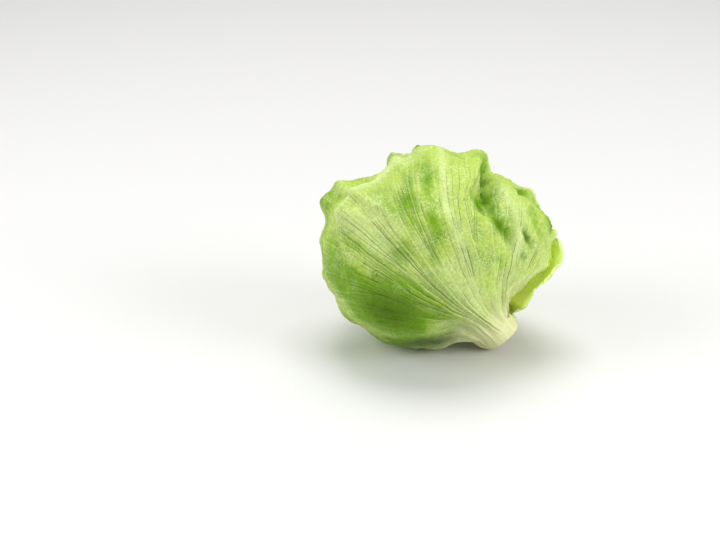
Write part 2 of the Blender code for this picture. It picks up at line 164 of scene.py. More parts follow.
# Small dents and puckers on the front leaf, in the same form
DENTS = (
    ((46.5, 13.0), (56.0, 3.5), -0.0024, -0.0024, 4.0, 1.3),
    ((49.0, -2.0), (50.0, -5.0), -0.0012, -0.0012, 2.0, 2.0),
    ((58.0, 43.0), (53.0, 36.0), -0.0040, -0.0015, 2.0, 3.0),
    ((86.0, 20.0), (76.0, 10.0), -0.0040, -0.0010, 2.5, 3.0),
    ((62.0, 60.0), (50.0, 62.0), 0.0020, 0.0010, 4.0, 3.0),
    ((-2.0, 84.0), (2.0, 20.0), 0.0008, 0.0008, 5.0, 4.0),
    ((27.0, 54.0), (38.0, 49.0), 0.0022, 0.0010, 2.5, 2.5),
    ((26.0, 34.0), (33.0, 20.0), 0.0018, 0.0022, 2.0, 2.5),
    ((-18.0, 74.0), (-30.0, 46.0), -0.0018, -0.0010, 5.0, 5.0),
)

# The sharp fold from the peak down, as a line on the front leaf's view, and how far it hangs over the
# pocket to its right, in metres
OVERHANG = ((29.0, 80.0), (12.0, 31.0), 0.0060)

# Where it starts along that line, over how much it comes in, where it ends and over how much it goes, as
# shares of the line; from how many degrees right of the line it fades to the left, how fast, and the same to
# the right; and the place and width of the painted highlight along its lip, also in degrees
OVERHANG_ENDS = (-0.1, 0.2, 1.05, 0.35)
OVERHANG_LEAN = (-1.0, 5.0, 1.0, 1.6)
OVERHANG_HIGHLIGHT = (1.6, 1.0)

# Pale bands on the front leaf, pale broad ribs and a painted highlight along its crests: a line on its view,
# strength at both ends and half widths in degrees
PALE_RIBS_AND_CREST_HIGHLIGHTS = (
    ((-62.0, 20.0), (-44.0, 52.0), 0.9, 0.9, 2.6, 3.2),
    ((-44.0, 52.0), (-20.0, 78.0), 0.9, 0.9, 4.0, 6.0),
    ((-72.0, 44.0), (-54.0, 40.0), 0.6, 0.6, 2.0, 2.0),
    ((-52.0, 26.0), (-26.0, 6.0), 0.5, 0.45, 11.0, 9.0),
    ((46.0, -29.0), (57.0, -17.0), 0.8, 0.8, 2.0, 2.5),
    ((57.0, -17.0), (82.0, -9.0), 0.8, 0.8, 2.0, 3.0),
    ((1.0, 92.0), (2.0, 26.0), 0.75, 0.7, 2.0, 3.4),
    ((2.0, 26.0), (22.0, -30.0), 0.7, 0.4, 2.5, 3.5),
    ((0.0, -6.0), (26.0, -44.0), 0.5, 0.8, 7.0, 9.0),
    ((42.0, 44.0), (44.0, -4.0), 0.6, 0.7, 3.0, 3.0),
    ((-26.0, 62.0), (2.0, 84.0), 0.5, 0.5, 3.0, 4.0),
    ((38.0, -20.0), (52.0, 30.0), 0.35, 0.3, 6.0, 6.0),
    ((-12.0, -12.0), (-62.0, 22.0), 0.35, 0.45, 5.0, 5.0),
)

# Curls where the front leaf's edge stands up, as angle round it, height in metres and half width in degrees
CURLS = ((115.0, 0.0045, 3.5), (101.0, 0.0045, 4.0), (33.0, 0.0030, 5.0), (9.0, 0.0025, 6.0))

# The back leaf's flared collar at the right, as angle on the front view and height in metres, and the angles
# between which the back leaf lies outside the front leaf
COLLAR = ((-42, 0.0), (-36, 0.0105), (-30, 0.0095), (-26, 0.0072), (-22, 0.0045), (-15, 0.0058), (-9, 0.0045),
          (-4, 0.0075), (2, 0.0070), (8, 0.0030), (14, 0.0))
COLLAR_OUTSIDE = (-38.0, 9.0)

# The angles between which its edge has a pale lip with a stronger painted glow, and how soon the lip fades
# inwards along run and side
COLLAR_LIP = (-48.0, 13.0)
LIP_FADES = (0.12, 0.25)

# The hollow in the inner head for the stem, as degrees from the stem's axis and radius, the head's grid, the
# height of a fold on it, and its folds: where each faces, its reach, its scallops and their size, in degrees
HOLLOW = ((0.0, 0.0292), (8.8, 0.0334), (10.7, 0.0525), (13.5, 0.0520))
HEAD_RINGS = 120
HEAD_SIDES = 180
FOLD_STEP = 0.0012
FOLDS = ((20.0, 60.0, 95.0, 5, 4.0), (-110.0, 50.0, 88.0, 6, 4.0), (130.0, 45.0, 78.0, 7, 4.0),
         (-30.0, 70.0, 62.0, 6, 5.0), (-150.0, 65.0, 46.0, 5, 5.0))

# Deep green patches on the front leaf, darkening into painted shade as their strength goes from 0.8 to 2, in
# its
# pockets and on and under its belly: x and y on its view, half widths across and along, turn of the patch
# from upright in degrees, and strength
GREEN_AND_SHADE_PATCHES = (
    (-4.0, 12.0, 4.5, 21.0, 2.0, 0.95), (-19.0, 28.0, 6.0, 18.0, 8.0, 0.95),
    (-8.0, 44.0, 5.0, 15.0, 4.0, 1.05), (-25.0, 0.0, 5.0, 15.0, 50.0, 1.15),
    (-31.0, -35.0, 25.0, 39.0, 75.0, 1.6), (-6.0, -72.0, 42.0, 17.0, 0.0, 1.9),
    (-60.0, -16.0, 20.0, 28.0, 60.0, 1.15), (-78.0, 38.0, 11.0, 17.0, -25.0, 0.65),
    (8.5, 12.0, 2.5, 3.0, 0.0, 0.8), (34.0, 59.0, 6.5, 14.0, -14.0, 1.35),
    (32.0, 39.0, 7.0, 15.0, 0.0, 1.35), (31.0, 43.0, 3.5, 5.0, 0.0, 1.9),
    (24.5, 28.0, 4.0, 8.0, 14.0, 1.45), (31.5, 25.0, 5.0, 12.0, 0.0, 1.25),
    (33.0, 15.0, 5.2, 9.0, 30.0, 1.6), (59.0, 42.0, 4.0, 4.0, 0.0, 1.3), (51.0, 8.3, 1.8, 7.0, 44.0, 1.8),
    (49.5, -3.0, 2.5, 3.0, 0.0, 1.1), (79.0, 18.0, 4.0, 8.0, -30.0, 1.5), (-38.0, 79.0, 5.0, 6.0, 0.0, 1.4),
    (-18.0, 87.0, 5.0, 4.0, 0.0, 1.4), (22.0, 66.0, 8.0, 10.0, 0.0, 0.4),
    (14.0, -2.0, 2.0, 14.0, 22.0, 0.7), (34.0, -8.0, 2.0, 10.0, 25.0, 0.6),
)

# The camera of the photograph: metres for each pixel at the head, its lens and sensor in millimetres, the
# picture's size and the head's middle in it in pixels, and the camera's angle above level
PIXEL = 0.00077
LENS = 85.0
SENSOR = 36.0
PICTURE = (720.0, 540.0)
HEAD_AT = (437.0, 252.0)
CAMERA_RISE = 22.0

CENTRE = np.array([0.0, 0.0, MIDDLE_HEIGHT])
SIZES = np.array([HALF_LENGTH, HALF_DEPTH, HALF_HEIGHT])
UP = np.array([0.0, 0.0, 1.0])
FRONT = np.array([0.0, -1.0, 0.0])


# Directions and curves

def unit(v):
    return v / np.maximum(np.linalg.norm(v, axis=-1, keepdims=True), 1e-12)


def heading(turn, rise):
    """A direction turned round from the front towards the right and raised, in degrees."""
    turn, rise = math.radians(turn), math.radians(rise)
    return np.array([math.sin(turn) * math.cos(rise), -math.cos(turn) * math.cos(rise), math.sin(rise)])


STEM_WAY = heading(90.0 - STEM_TURN, -STEM_SLOPE)
STEM_FRONT = unit(FRONT - (FRONT @ STEM_WAY) * STEM_WAY)
STEM_SIDE = np.cross(-STEM_WAY, STEM_FRONT)


def soft_max(a, b, softness):
    top = np.maximum(a, b)
    return top + softness * np.log(np.exp((a - top) / softness) + np.exp((b - top) / softness))


def ease(x):
    """0 below 0, 1 above 1 and smooth between."""
    x = np.clip(x, 0.0, 1.0)
    return x * x * (3.0 - 2.0 * x)


def rising(value, start, span):
    """0 up to start, 1 from a span further on and smooth between."""
    return ease((value - start) / span)


def curve(knots, at):
    """A smooth line through knots, each a place and its values, read at the places given."""
    knots = np.array(knots, float)
    places, values = knots[:, 0], knots[:, 1:]
    slopes = np.gradient(values, places, axis=0)
    at = np.clip(at, places[0], places[-1])
    i = np.clip(np.searchsorted(places, at) - 1, 0, len(places) - 2)
    width = (places[i + 1] - places[i])[..., None]
    t = (at - places[i])[..., None] / width
    near = (2 * t ** 3 - 3 * t ** 2 + 1) * values[i] + (t ** 3 - 2 * t ** 2 + t) * width * slopes[i]
    return near + (3 * t ** 2 - 2 * t ** 3) * values[i + 1] + (t ** 3 - t ** 2) * width * slopes[i + 1]


def wrapped(angle, middle):
    """An angle in degrees brought to within half a turn of middle."""
    return (angle - middle + 180.0) % 360.0 - 180.0 + middle


def facing(leaf):
    out = heading(*leaf["faces"])
    up = unit(UP - out[2] * out)
    return out, np.cross(up, out), up


def to_polar(leaf, way):
    """How far directions lie from the middle of a leaf's view, and at what angle, in degrees."""
    out, right, up = facing(leaf)
    away = np.degrees(np.arccos(np.clip(way @ out, -1.0, 1.0)))
    return away, np.degrees(np.arctan2(way @ up, way @ right))


def spoke(angle):
    angle = np.radians(angle)
    return np.stack([np.cos(angle), np.sin(angle)], axis=-1)


def to_view(leaf, way):
    away, angle = to_polar(leaf, way)
    return away[..., None] * spoke(angle)


def from_view(leaf, xy):
    out, right, up = facing(leaf)
    away = np.linalg.norm(xy, axis=-1, keepdims=True)
    spin = xy / np.maximum(away, 1e-9)
    away = np.radians(away)
    return np.cos(away) * out + np.sin(away) * (spin[..., :1] * right + spin[..., 1:] * up)


def round_stem(turn, away):
    """Directions at an angle away from the stem's axis, turned round it from the front."""
    turn, away = np.radians(turn), np.radians(away)
    turn, away = (a[..., None] for a in np.broadcast_arrays(turn, away))
    return np.cos(away) * STEM_WAY + np.sin(away) * (np.cos(turn) * STEM_FRONT + np.sin(turn) * STEM_SIDE)


def from_stem_angle(way):
    return np.degrees(np.arccos(np.clip(way @ STEM_WAY, -1.0, 1.0)))


# How many waves a ripple is made of, and the range of their lengths beside its own
RIPPLE_WAVES = 9
WAVE_LENGTHS = (0.75, 1.35)


def ripple(points, wavelength, seed):
    """A smooth irregular wave between about -1 and 1, the same on every run."""
    rng = np.random.default_rng(seed)
    total = np.zeros(points.shape[:-1])
    for _ in range(RIPPLE_WAVES):
        way = unit(rng.normal(size=3)) * (2.0 * math.pi / (wavelength * rng.uniform(*WAVE_LENGTHS)))
        total = total + np.sin(points @ way + rng.uniform(0.0, 2.0 * math.pi))
    return total / math.sqrt(RIPPLE_WAVES)


# The head's surface

# How far a fold runs on past its ends, and over what share of its length it fades out there
FOLD_END = 0.18
FOLD_FADE = 0.30

# Degrees from the stem over which the nub falls away
NUB_DROP = 40.0


def fold_height(folds, xy, wider, deeper):
    total = np.zeros(xy.shape[:-1])
    for start, end, first, last, left, right in folds:
        start, along = np.array(start), np.array(end) - np.array(start)
        length = np.linalg.norm(along)
        along = along / length
        share = (xy - start) @ along / length
        across = (xy - start) @ np.array([along[1], -along[0]])
        width = np.where(across > 0, left, right) * wider
        ends = ease((share + FOLD_END) / FOLD_FADE) * ease((1.0 + FOLD_END - share) / FOLD_FADE)
        height = (first + (last - first) * np.clip(share, 0, 1)) * deeper
        total += height * np.exp(-((across / width) ** 2)) * ends
    return total


def narrowing(way, from_stem):
    """How far the ball comes in round the stem: a groove round the nub, and the front's taper to it."""
    turn = np.degrees(np.arctan2(way @ STEM_SIDE, way @ STEM_FRONT))
    middle, half, share = NECK_FLARE
    groove = GROOVE_DEPTH * (1.0 - share * np.exp(-((wrapped(turn, middle) - middle) / half) ** 2))
    groove = groove * np.exp(-((np.maximum(from_stem - GROOVE_AWAY, 0.0) / GROOVE_WIDTH) ** 2))
    deepest, start, comes, end, goes, middle, half = TAPER
    taper = deepest * ease((from_stem - start) / comes) * ease((end - from_stem) / goes)
    return groove + taper * np.exp(-(((wrapped(turn, middle) - middle) / half) ** 2))


def nub_radius(from_stem):
    """The rounded nub round the stem, as a distance from the ball's middle."""
    aslant = NUB_MIDDLE * np.sin(np.radians(from_stem))
    cap = np.sqrt(np.maximum(NUB_RADIUS ** 2 - aslant ** 2, 0.0))
    nub = NUB_MIDDLE * np.cos(np.radians(from_stem)) + cap
    return nub - NUB_MIDDLE * ease((from_stem - NUB_START) / NUB_DROP)


def ball_radius(way, depth, outermost, at_stem):
    """The ball's radius in each direction, for a layer that lies depth under the front leaf."""
    away, angle = to_polar(LEAVES["front_leaf"], way)
    xy = away[..., None] * spoke(angle)
    outline = curve(OUTLINE, wrapped(angle, 90.0))[..., 0]
    if not outermost:
        outline = np.minimum(outline, 0.0)
    ball = 1.0 / np.linalg.norm(way / SIZES, axis=-1) - depth
    front, back = OUTLINE_SPREAD
    ball = ball + outline * ease((away - front) / (90.0 - front)) * ease((back - away) / (back - 90.0))
    from_stem = from_stem_angle(way)
    ball = ball - narrowing(way, from_stem)
    wider, deeper = (1.0, 1.0) if outermost else INNER_VALLEYS
    ball = ball + fold_height(VALLEYS, xy, wider, deeper)
    if outermost:
        ball = ball + fold_height(RIDGES, xy, 1.0, 1.0) + fold_height(DENTS, xy, 1.0, 1.0)
        for x, y, height, half in LOBES:
            ball = ball + height * np.exp(-((xy[..., 0] - x) ** 2 + (xy[..., 1] - y) ** 2) / half ** 2)
    if at_stem:
        ball = soft_max(ball, nub_radius(from_stem), NUB_BLEND)
    return ball


# A leaf's sheet

# The edge's notches, from the widest to the finest: how many in a full turn and how deep in degrees, and how
# often and how far the middling ones drift sideways
SCALLOPS = ((13, 0.9), (29, 0.8), (61, 0.5))
SCALLOP_DRIFT = (5, 2.0)

# Over what last share of run and of side the notches come in
NOTCH_RUN = 0.2
NOTCH_SIDE = 0.06

# How veins crowd towards the stem
RUN_POWER = 1.15

# How far the sides of a leaf count as its edge, and how that ends near the stem: strength and run
SIDE_EDGE = 0.9
BASE_EDGE = (0.6, 0.35)

# Degrees over which the collar fades at its two ends, the nearness to the edge at which it starts to flare,
# and the layers it clears the front leaf by
COLLAR_FADE = 6.0
COLLAR_FROM = 0.55
COLLAR_CLEAR = 2.0

# The nearness to the edge at which each wave of it starts: the slow lift, the ruffles, the small ruffles
# between them, the crinkle and the curls
LIFT_FROM = 0.70
RUFFLE_FROM = 0.74
SMALL_FROM = 0.88
CRINKLE_FROM = 0.93
CURL_FROM = 0.85

# How the ruffles spread along the edge, their counts beside the leaf's own, their drifts as size and count,
# the small ones' share of the height and the crinkle's height in metres
RUFFLE_SPREAD = (1.8, 0.8)
SMALL_COUNT = 2.7
CRINKLE_COUNT = 6.1
RUFFLE_DRIFT = (1.3, 5.0)
CRINKLE_DRIFT = (4.0, 9.0)
SMALL_SHARE = 0.3
CRINKLE_HEIGHT = 0.0005

# Where an edge lies flat: degrees inside another leaf's edge, degrees from the stem as start and span, and
# how much of its lift the front leaf loses under the collar
HELD_BY_LEAF = 10.0
HELD_BY_STEM = (30.0, 25.0)
HELD_BY_COLLAR = 0.8

# Degrees from the stem over which the back leaf sinks from the nub's surface to its own layer
BACK_SINKS = (14.0, 10.0)


def reach(leaf, angle):
    """How far a leaf's edge lies from the middle of its view, in degrees, at an angle in degrees."""
    return curve(leaf["edge"], wrapped(angle, leaf["sweep"][0]))[..., 0]


def scallops(leaf, angle):
    """Small uneven notches of the edge, in degrees."""
    turn = np.radians(angle)
    seed = leaf["seed"]
    (wide, wide_size), (middling, middling_size), (fine, fine_size) = SCALLOPS
    often, far = SCALLOP_DRIFT
    return (wide_size * np.sin(wide * turn + seed)
            + middling_size * np.sin(middling * turn + 2.0 * seed + far * np.sin(often * turn))
            + fine_size * np.sin(fine * turn + 3.0 * seed))


def covered(leaf, way, clear):
    """1 where a leaf hides what is under it, fading to 0 at clear degrees outside its edge."""
    away, angle = to_polar(leaf, way)
    return ease((reach(leaf, angle) - away + clear) / clear)


def leaf_ways(leaf, side, run):
    """The direction from the ball's middle to each point of a leaf."""
    clasp, half_clasp = leaf["clasp"]
    first = NUB_START if leaf["leaves_stem"] is None else INNER_START
    start = to_view(leaf, round_stem(clasp + side * half_clasp, first))
    bend = curve(leaf["bends"], side)
    middle, half = leaf["sweep"]
    angle = middle - half * side
    notch = scallops(leaf, angle) * from_near(run, 1.0 - NOTCH_RUN) * ease((1.0 - np.abs(side)) / NOTCH_SIDE)
    end = reach(leaf, angle)[..., None] * spoke(angle)
    s = (run ** RUN_POWER)[..., None]
    xy = (1 - s) ** 2 * start + 2 * s * (1 - s) * bend + s ** 2 * end
    return unit(from_view(leaf, xy + notch[..., None] * spoke(angle)))


def nearness(side, run):
    """1 on a leaf's free edge, falling inwards, and 0 near the stem."""
    strength, ends = BASE_EDGE
    inside = np.minimum(1.0 - run, SIDE_EDGE * (1.0 - np.abs(side)) + strength * (1.0 - ease(run / ends)))
    return 1.0 - inside


def from_near(near, start):
    """0 up to start and 1 at the edge, where near is 1."""
    return ease((near - start) / (1.0 - start))


def collar_window(way, first, last):
    """1 well between two angles of the front view, fading to 0 at them."""
    _, angle = to_polar(LEAVES["front_leaf"], way)
    return ease((angle - first) / COLLAR_FADE) * ease((last - angle) / COLLAR_FADE)


def under_collar(way):
    """1 in the directions where the back leaf lies over the front leaf, and 0 elsewhere."""
    return collar_window(way, *COLLAR_OUTSIDE)


def edge_waves(leaf, side, run, near):
    """A leaf's ruffles, the small ones between them and its crinkle, in metres."""
    count, height, start = leaf["ruffle"]
    wide, less = RUFFLE_SPREAD
    place = side * (wide - less * run)
    size, often = RUFFLE_DRIFT
    wave = 0.5 + 0.5 * np.sin(math.pi * count * place + start + size * np.sin(often * place + start))
    small = 0.5 + 0.5 * np.sin(math.pi * SMALL_COUNT * count * place + 2.0 * start)
    size, often = CRINKLE_DRIFT
    crinkle = np.sin(math.pi * CRINKLE_COUNT * count * place + size * np.sin(often * place) + start)
    return (height * wave * from_near(near, RUFFLE_FROM)
            + SMALL_SHARE * height * small * from_near(near, SMALL_FROM)
            + CRINKLE_HEIGHT * crinkle * from_near(near, CRINKLE_FROM))


def edge_lift(name, side, run, way):
    """How far a leaf's edge stands off the ball: a slow lift, and ruffles that grow towards the edge."""
    leaf = LEAVES[name]
    near = nearness(side, run)
    lift = leaf["lift"] * from_near(near, LIFT_FROM) + edge_waves(leaf, side, run, near)
    for other in OUTER_TO_INNER[: OUTER_TO_INNER.index(name)]:
        lift = lift * (1.0 - covered(LEAVES[other], way, HELD_BY_LEAF))
    lift = lift * rising(from_stem_angle(way), *HELD_BY_STEM)
    if name == "front_leaf":
        lift = lift * (1.0 - HELD_BY_COLLAR * under_collar(way))
        _, angle = to_polar(leaf, way)
        for at, curl, half in CURLS:
            lift = lift + curl * np.exp(-((angle - at) / half) ** 2) * from_near(near, CURL_FROM)
    return lift


def collar(side, run, way):
    """How far the back leaf goes out past the front leaf where it flares at the right."""
    _, angle = to_polar(LEAVES["front_leaf"], way)
    flare = curve(COLLAR, angle)[..., 0] * from_near(nearness(side, run), COLLAR_FROM)
    return COLLAR_CLEAR * LAYER * under_collar(way) + flare


def stem_radius(height):
    heights, radii = zip(*STEM_PROFILE[:-1])
    return float(np.interp(height, heights, radii))


def rise_from_stem(leaf, side, run, points):
    """Brings the base of an inner leaf in to the stem's side."""
    clasp, half_clasp = leaf["clasp"]
    height = leaf["leaves_stem"]
    out = unit(round_stem(clasp + side * half_clasp, 90.0))
    at_stem = CENTRE + height * STEM_WAY + (stem_radius(height) + GAP) * out
    return at_stem + (points - at_stem) * ease(run / RISE_FROM_STEM)[..., None]


def leaf_points(name, side, run):
    """The outer face of a leaf before its veins, as points in metres, and their directions."""
    leaf = LEAVES[name]
    inner = leaf["leaves_stem"] is not None
    depth = np.full(run.shape, leaf["layer"] * LAYER)
    way = leaf_ways(leaf, side, run)
    if name == "back_leaf":
        depth = depth * rising(from_stem_angle(way), *BACK_SINKS)
    radius = ball_radius(way, depth, name == "front_leaf", not inner) + edge_lift(name, side, run, way)
    if name == "back_leaf":
        radius = radius + collar(side, run, way)
    points = CENTRE + radius[..., None] * way
    if inner:
        points = rise_from_stem(leaf, side, run, points)
    points[..., 2] = np.maximum(points[..., 2], depth)
    return points, way


# Veins and colours over a leaf

# The side that the outermost ribs reach, how unevenly the ribs are spaced and how far they wander, as shares
# of their spacing, and the wander's turns, its widest phase and the run over which it comes in
RIB_SPAN = 1.08
RIB_UNEVEN = 0.22
RIB_WANDER = 0.2
WANDER_TURNS = 4.0
WANDER_PHASE = 6.0
WANDER_RUN = 0.3

# How a branch draws its start and its side from the number of its cell, over what run it spreads and
# how soon it shows, and where branches leave: first run and span
DRAW_STEP = 2.4
SIDE_STEP = 1.7
BRANCH_SPREAD = 0.28
BRANCH_START = 0.04
BRANCHES = (0.30, 0.34)
FINE_BRANCHES = (0.38, 0.30)

# Half width of the thin dark line of painted shade in the groove beside a rib in millimetres, and how far the
# pale rib reaches from it
GROOVE_LINE = 0.31
RIB_REACH = 2.6

# The least and greatest distance between two ribs that the relief allows, in metres
SPACINGS = (0.0004, 0.03)

# The relief in metres. The ribs: highest rise, share of their spacing, the range that scales each, how much
# of their rise they lose outwards, and the rise of the finer ribs between them
RIB_RISE = 0.00042
RIB_SHARE = 0.11
RIB_DRAWS = (0.35, 1.3)
RIB_FALLS = 0.7
FINE_RIB_RISE = 0.00014

# The runs over which each part of the relief comes in and goes, as start and span
RIB_COMES = (0.01, 0.2)
RIB_GOES = (0.3, 0.5)
FINE_COMES = (0.3, 0.2)
NECK_COMES = (0.0, 0.15)
NECK_GOES = (0.22, 0.35)
PUCKERS_COME = (0.12, 0.3)

# The broad waves of the neck: height, how many ribs one wave spans, and how they drift
NECK_WAVE = 0.0009
NECK_WAVE_RIBS = 3.3
NECK_WAVE_DRIFT = (1.2, 1.1)

# Puckers: height, width in metres, and the number added to the leaf's seed, and the same for the ribs' draws
PUCKERS = ((0.00030, 0.009, 20), (0.00080, 0.030, 21), (0.00014, 0.0045, 22))
DRAW_SEED = 50

# Degrees from the stem over which a leaf's pale neck ends
NECK_ENDS = (12.0, 58.0)

# The green of all leaves but the front one: its middle, its range and the width of its patches in metres
PLAIN_GREEN = (0.25, 0.15, 0.04)

# The rim from which the back leaf's lip gets a stronger painted glow
LIP_FROM = 0.965


def rib_places(leaf, run):
    """The side of each main rib at one run: unevenly spaced, each wandering a little."""
    rng = np.random.default_rng(leaf["seed"])
    count = leaf["ribs"]
    even = np.linspace(-RIB_SPAN, RIB_SPAN, count)
    step = even[1] - even[0]
    base = even + rng.uniform(-RIB_UNEVEN, RIB_UNEVEN, count) * step
    wander = rng.uniform(-RIB_WANDER, RIB_WANDER, count) * step
    phase = rng.uniform(0.0, WANDER_PHASE, count)
    return base + wander * np.sin(WANDER_TURNS * run + phase) * ease(run / WANDER_RUN)


def rib_number(leaf, side, run):
    """A coordinate that is a whole number on every main rib and runs evenly between them."""
    number = np.zeros(side.shape)
    for row in range(side.shape[1]):
        places = rib_places(leaf, run[0, row])
        number[:, row] = np.interp(side[:, row], places, np.arange(len(places)))
    return number


def surface_normals(points):
    """Outward normals of a grid of points laid out as side by run."""
    by_side = np.gradient(points, axis=0)
    by_run = np.gradient(points, axis=1)
    normal = unit(np.cross(by_side, by_run))
    outward = (normal * (points - CENTRE)).sum(axis=-1).mean()
    return normal if outward > 0 else -normal


def green_depth_and_painted_shade(way):
    """How deep the front leaf's green is in each direction: full green at 1, and painted shade beyond, in its
    pockets and on and under its belly.
    """
    xy = to_view(LEAVES["front_leaf"], way)
    total = np.zeros(way.shape[:-1])
    for x, y, across, along, turn, strength in GREEN_AND_SHADE_PATCHES:
        turn = math.radians(turn)
        dx, dy = xy[..., 0] - x, xy[..., 1] - y
        a = (dx * math.cos(turn) + dy * math.sin(turn)) / across
        b = (-dx * math.sin(turn) + dy * math.cos(turn)) / along
        total = np.maximum(total, strength * np.exp(-(a * a + b * b)))
    return total


def pale_ribs_and_crest_highlights(way):
    """How pale the front leaf is along its broad ribs, and its painted highlight along its crests, from 0 to
    1.
    """
    return np.clip(fold_height(PALE_RIBS_AND_CREST_HIGHLIGHTS, to_view(LEAVES["front_leaf"], way), 1.0, 1.0), 0.0, 1.0)


def fold_place(way):
    """Where points lie along the sharp fold, and how far to its right, in degrees on the front view."""
    start, end, _ = OVERHANG
    xy = to_view(LEAVES["front_leaf"], way)
    start, along = np.array(start), np.array(end) - np.array(start)
    length = np.linalg.norm(along)
    along = along / length
    return (xy - start) @ along / length, -(xy - start) @ np.array([along[1], -along[0]])


def hang_fold(points, way):
    """Leans the front leaf's sharp fold over the pocket beside it, and gives 1 along its lip, where a
    highlight is painted.
    """
    share, right = fold_place(way)
    start, comes, end, goes = OVERHANG_ENDS
    there = ease((share - start) / comes) * ease((end - share) / goes)
    left_from, left_width, right_from, right_width = OVERHANG_LEAN
    lean = np.exp(-((np.minimum(right - left_from, 0.0) / left_width) ** 2))
    lean = lean * np.exp(-((np.maximum(right - right_from, 0.0) / right_width) ** 2))
    moved = points + (OVERHANG[2] * there * lean)[..., None] * facing(LEAVES["front_leaf"])[1]
    lip_light, lip_width = OVERHANG_HIGHLIGHT
    return moved, there * np.exp(-(((right - lip_light) / lip_width) ** 2))


def relief_height(leaf, points, run, number, spacing):
    """Rounded ribs with a groove between each two, broad waves on the neck, and puckers further out."""
    seed = leaf["seed"]
    draws = np.random.default_rng(seed + DRAW_SEED).uniform(*RIB_DRAWS, leaf["ribs"] + 1)
    cell = np.floor(number)
    dome = 1.0 - (2.0 * (number - cell) - 1.0) ** 2
    half = 2.0 * number - np.floor(2.0 * number)
    fine = 1.0 - (2.0 * half - 1.0) ** 2
    rib = np.minimum(RIB_RISE, RIB_SHARE * spacing) * rising(run, *RIB_COMES)
    rib = rib * (1.0 - RIB_FALLS * rising(run, *RIB_GOES))
    height = rib * draws[np.clip(cell.astype(int), 0, leaf["ribs"])] * dome
    height = height + FINE_RIB_RISE * fine * rising(run, *FINE_COMES)
    neck = rising(run, *NECK_COMES) * (1.0 - rising(run, *NECK_GOES))
    size, often = NECK_WAVE_DRIFT
    wave = 2.0 * math.pi * number / NECK_WAVE_RIBS + size * np.sin(often * number) + seed
    height = height + NECK_WAVE * neck * np.sin(wave)
    puckers = sum(rise * ripple(points, width, seed + more) for rise, width, more in PUCKERS)
    return height + rising(run, *PUCKERS_COME) * puckers


def add_relief(leaf, points, run, number):
    """Moves the points out by the relief, and gives the distance between ribs in metres."""
    normal = surface_normals(points)
    by_number = np.linalg.norm(np.gradient(points, axis=0), axis=-1) / np.maximum(
        np.abs(np.gradient(number, axis=0)), 1e-6)
    spacing = np.clip(by_number, *SPACINGS)
    height = relief_height(leaf, points, run, number, spacing)
    return points + height[..., None] * normal, spacing


# Meshes

# Thickness of an inner leaf's base in metres
INNER_THICKNESS = 0.0010


def grid_mesh(across, along):
    """A flat grid, with the side and run of its points as arrays laid out as side by run."""
    bm = bmesh.new()
    bmesh.ops.create_grid(bm, x_segments=across, y_segments=along, size=1.0)
    flat = np.array([v.co[:] for v in bm.verts])
    order = np.lexsort((flat[:, 1].round(6), flat[:, 0].round(6)))
    shape = (across + 1, along + 1)
    side = flat[order, 0].reshape(shape)
    run = 0.5 * (flat[order, 1].reshape(shape) + 1.0)
    return bm, order, side, run


def place_vertices(bm, order, points):
    bm.verts.ensure_lookup_table()
    for index, point in zip(order, points.reshape(-1, 3)):
        bm.verts[index].co = point


def add_attributes(mesh, order, values):
    """One number on each vertex for every name given, which the materials read."""
    for name, numbers in values.items():
        attribute = mesh.attributes.new(name, "FLOAT", "POINT")
        ordered = np.zeros(len(mesh.vertices), np.float32)
        ordered[order] = numbers.reshape(-1)
        attribute.data.foreach_set("value", ordered)


def as_object(name, bm):
    mesh = bpy.data.meshes.new(name)
    bm.to_mesh(mesh)
    bm.free()
    mesh.shade_smooth()
    made = bpy.data.objects.new(name, mesh)
    bpy.context.scene.collection.objects.link(made)
    return made


def thicken(leaf, made, order, run):
    """Gives a leaf its thickness on the inner side, thinning from its base outwards."""
    thin = made.vertex_groups.new(name="thickness")
    share = np.zeros(len(made.data.vertices))
    share[order] = (1.0 - ease(run / THINS_OVER)).reshape(-1)
    for index, value in enumerate(share):
        thin.add([index], float(value), "REPLACE")
    solid = made.modifiers.new("blade", "SOLIDIFY")
    solid.thickness = BASE_THICKNESS if leaf["leaves_stem"] is None else INNER_THICKNESS
    solid.offset = -1.0
    solid.use_even_offset = False
    solid.vertex_group = "thickness"
    solid.thickness_vertex_group = EDGE_THICKNESS / solid.thickness
    solid.material_offset = 1


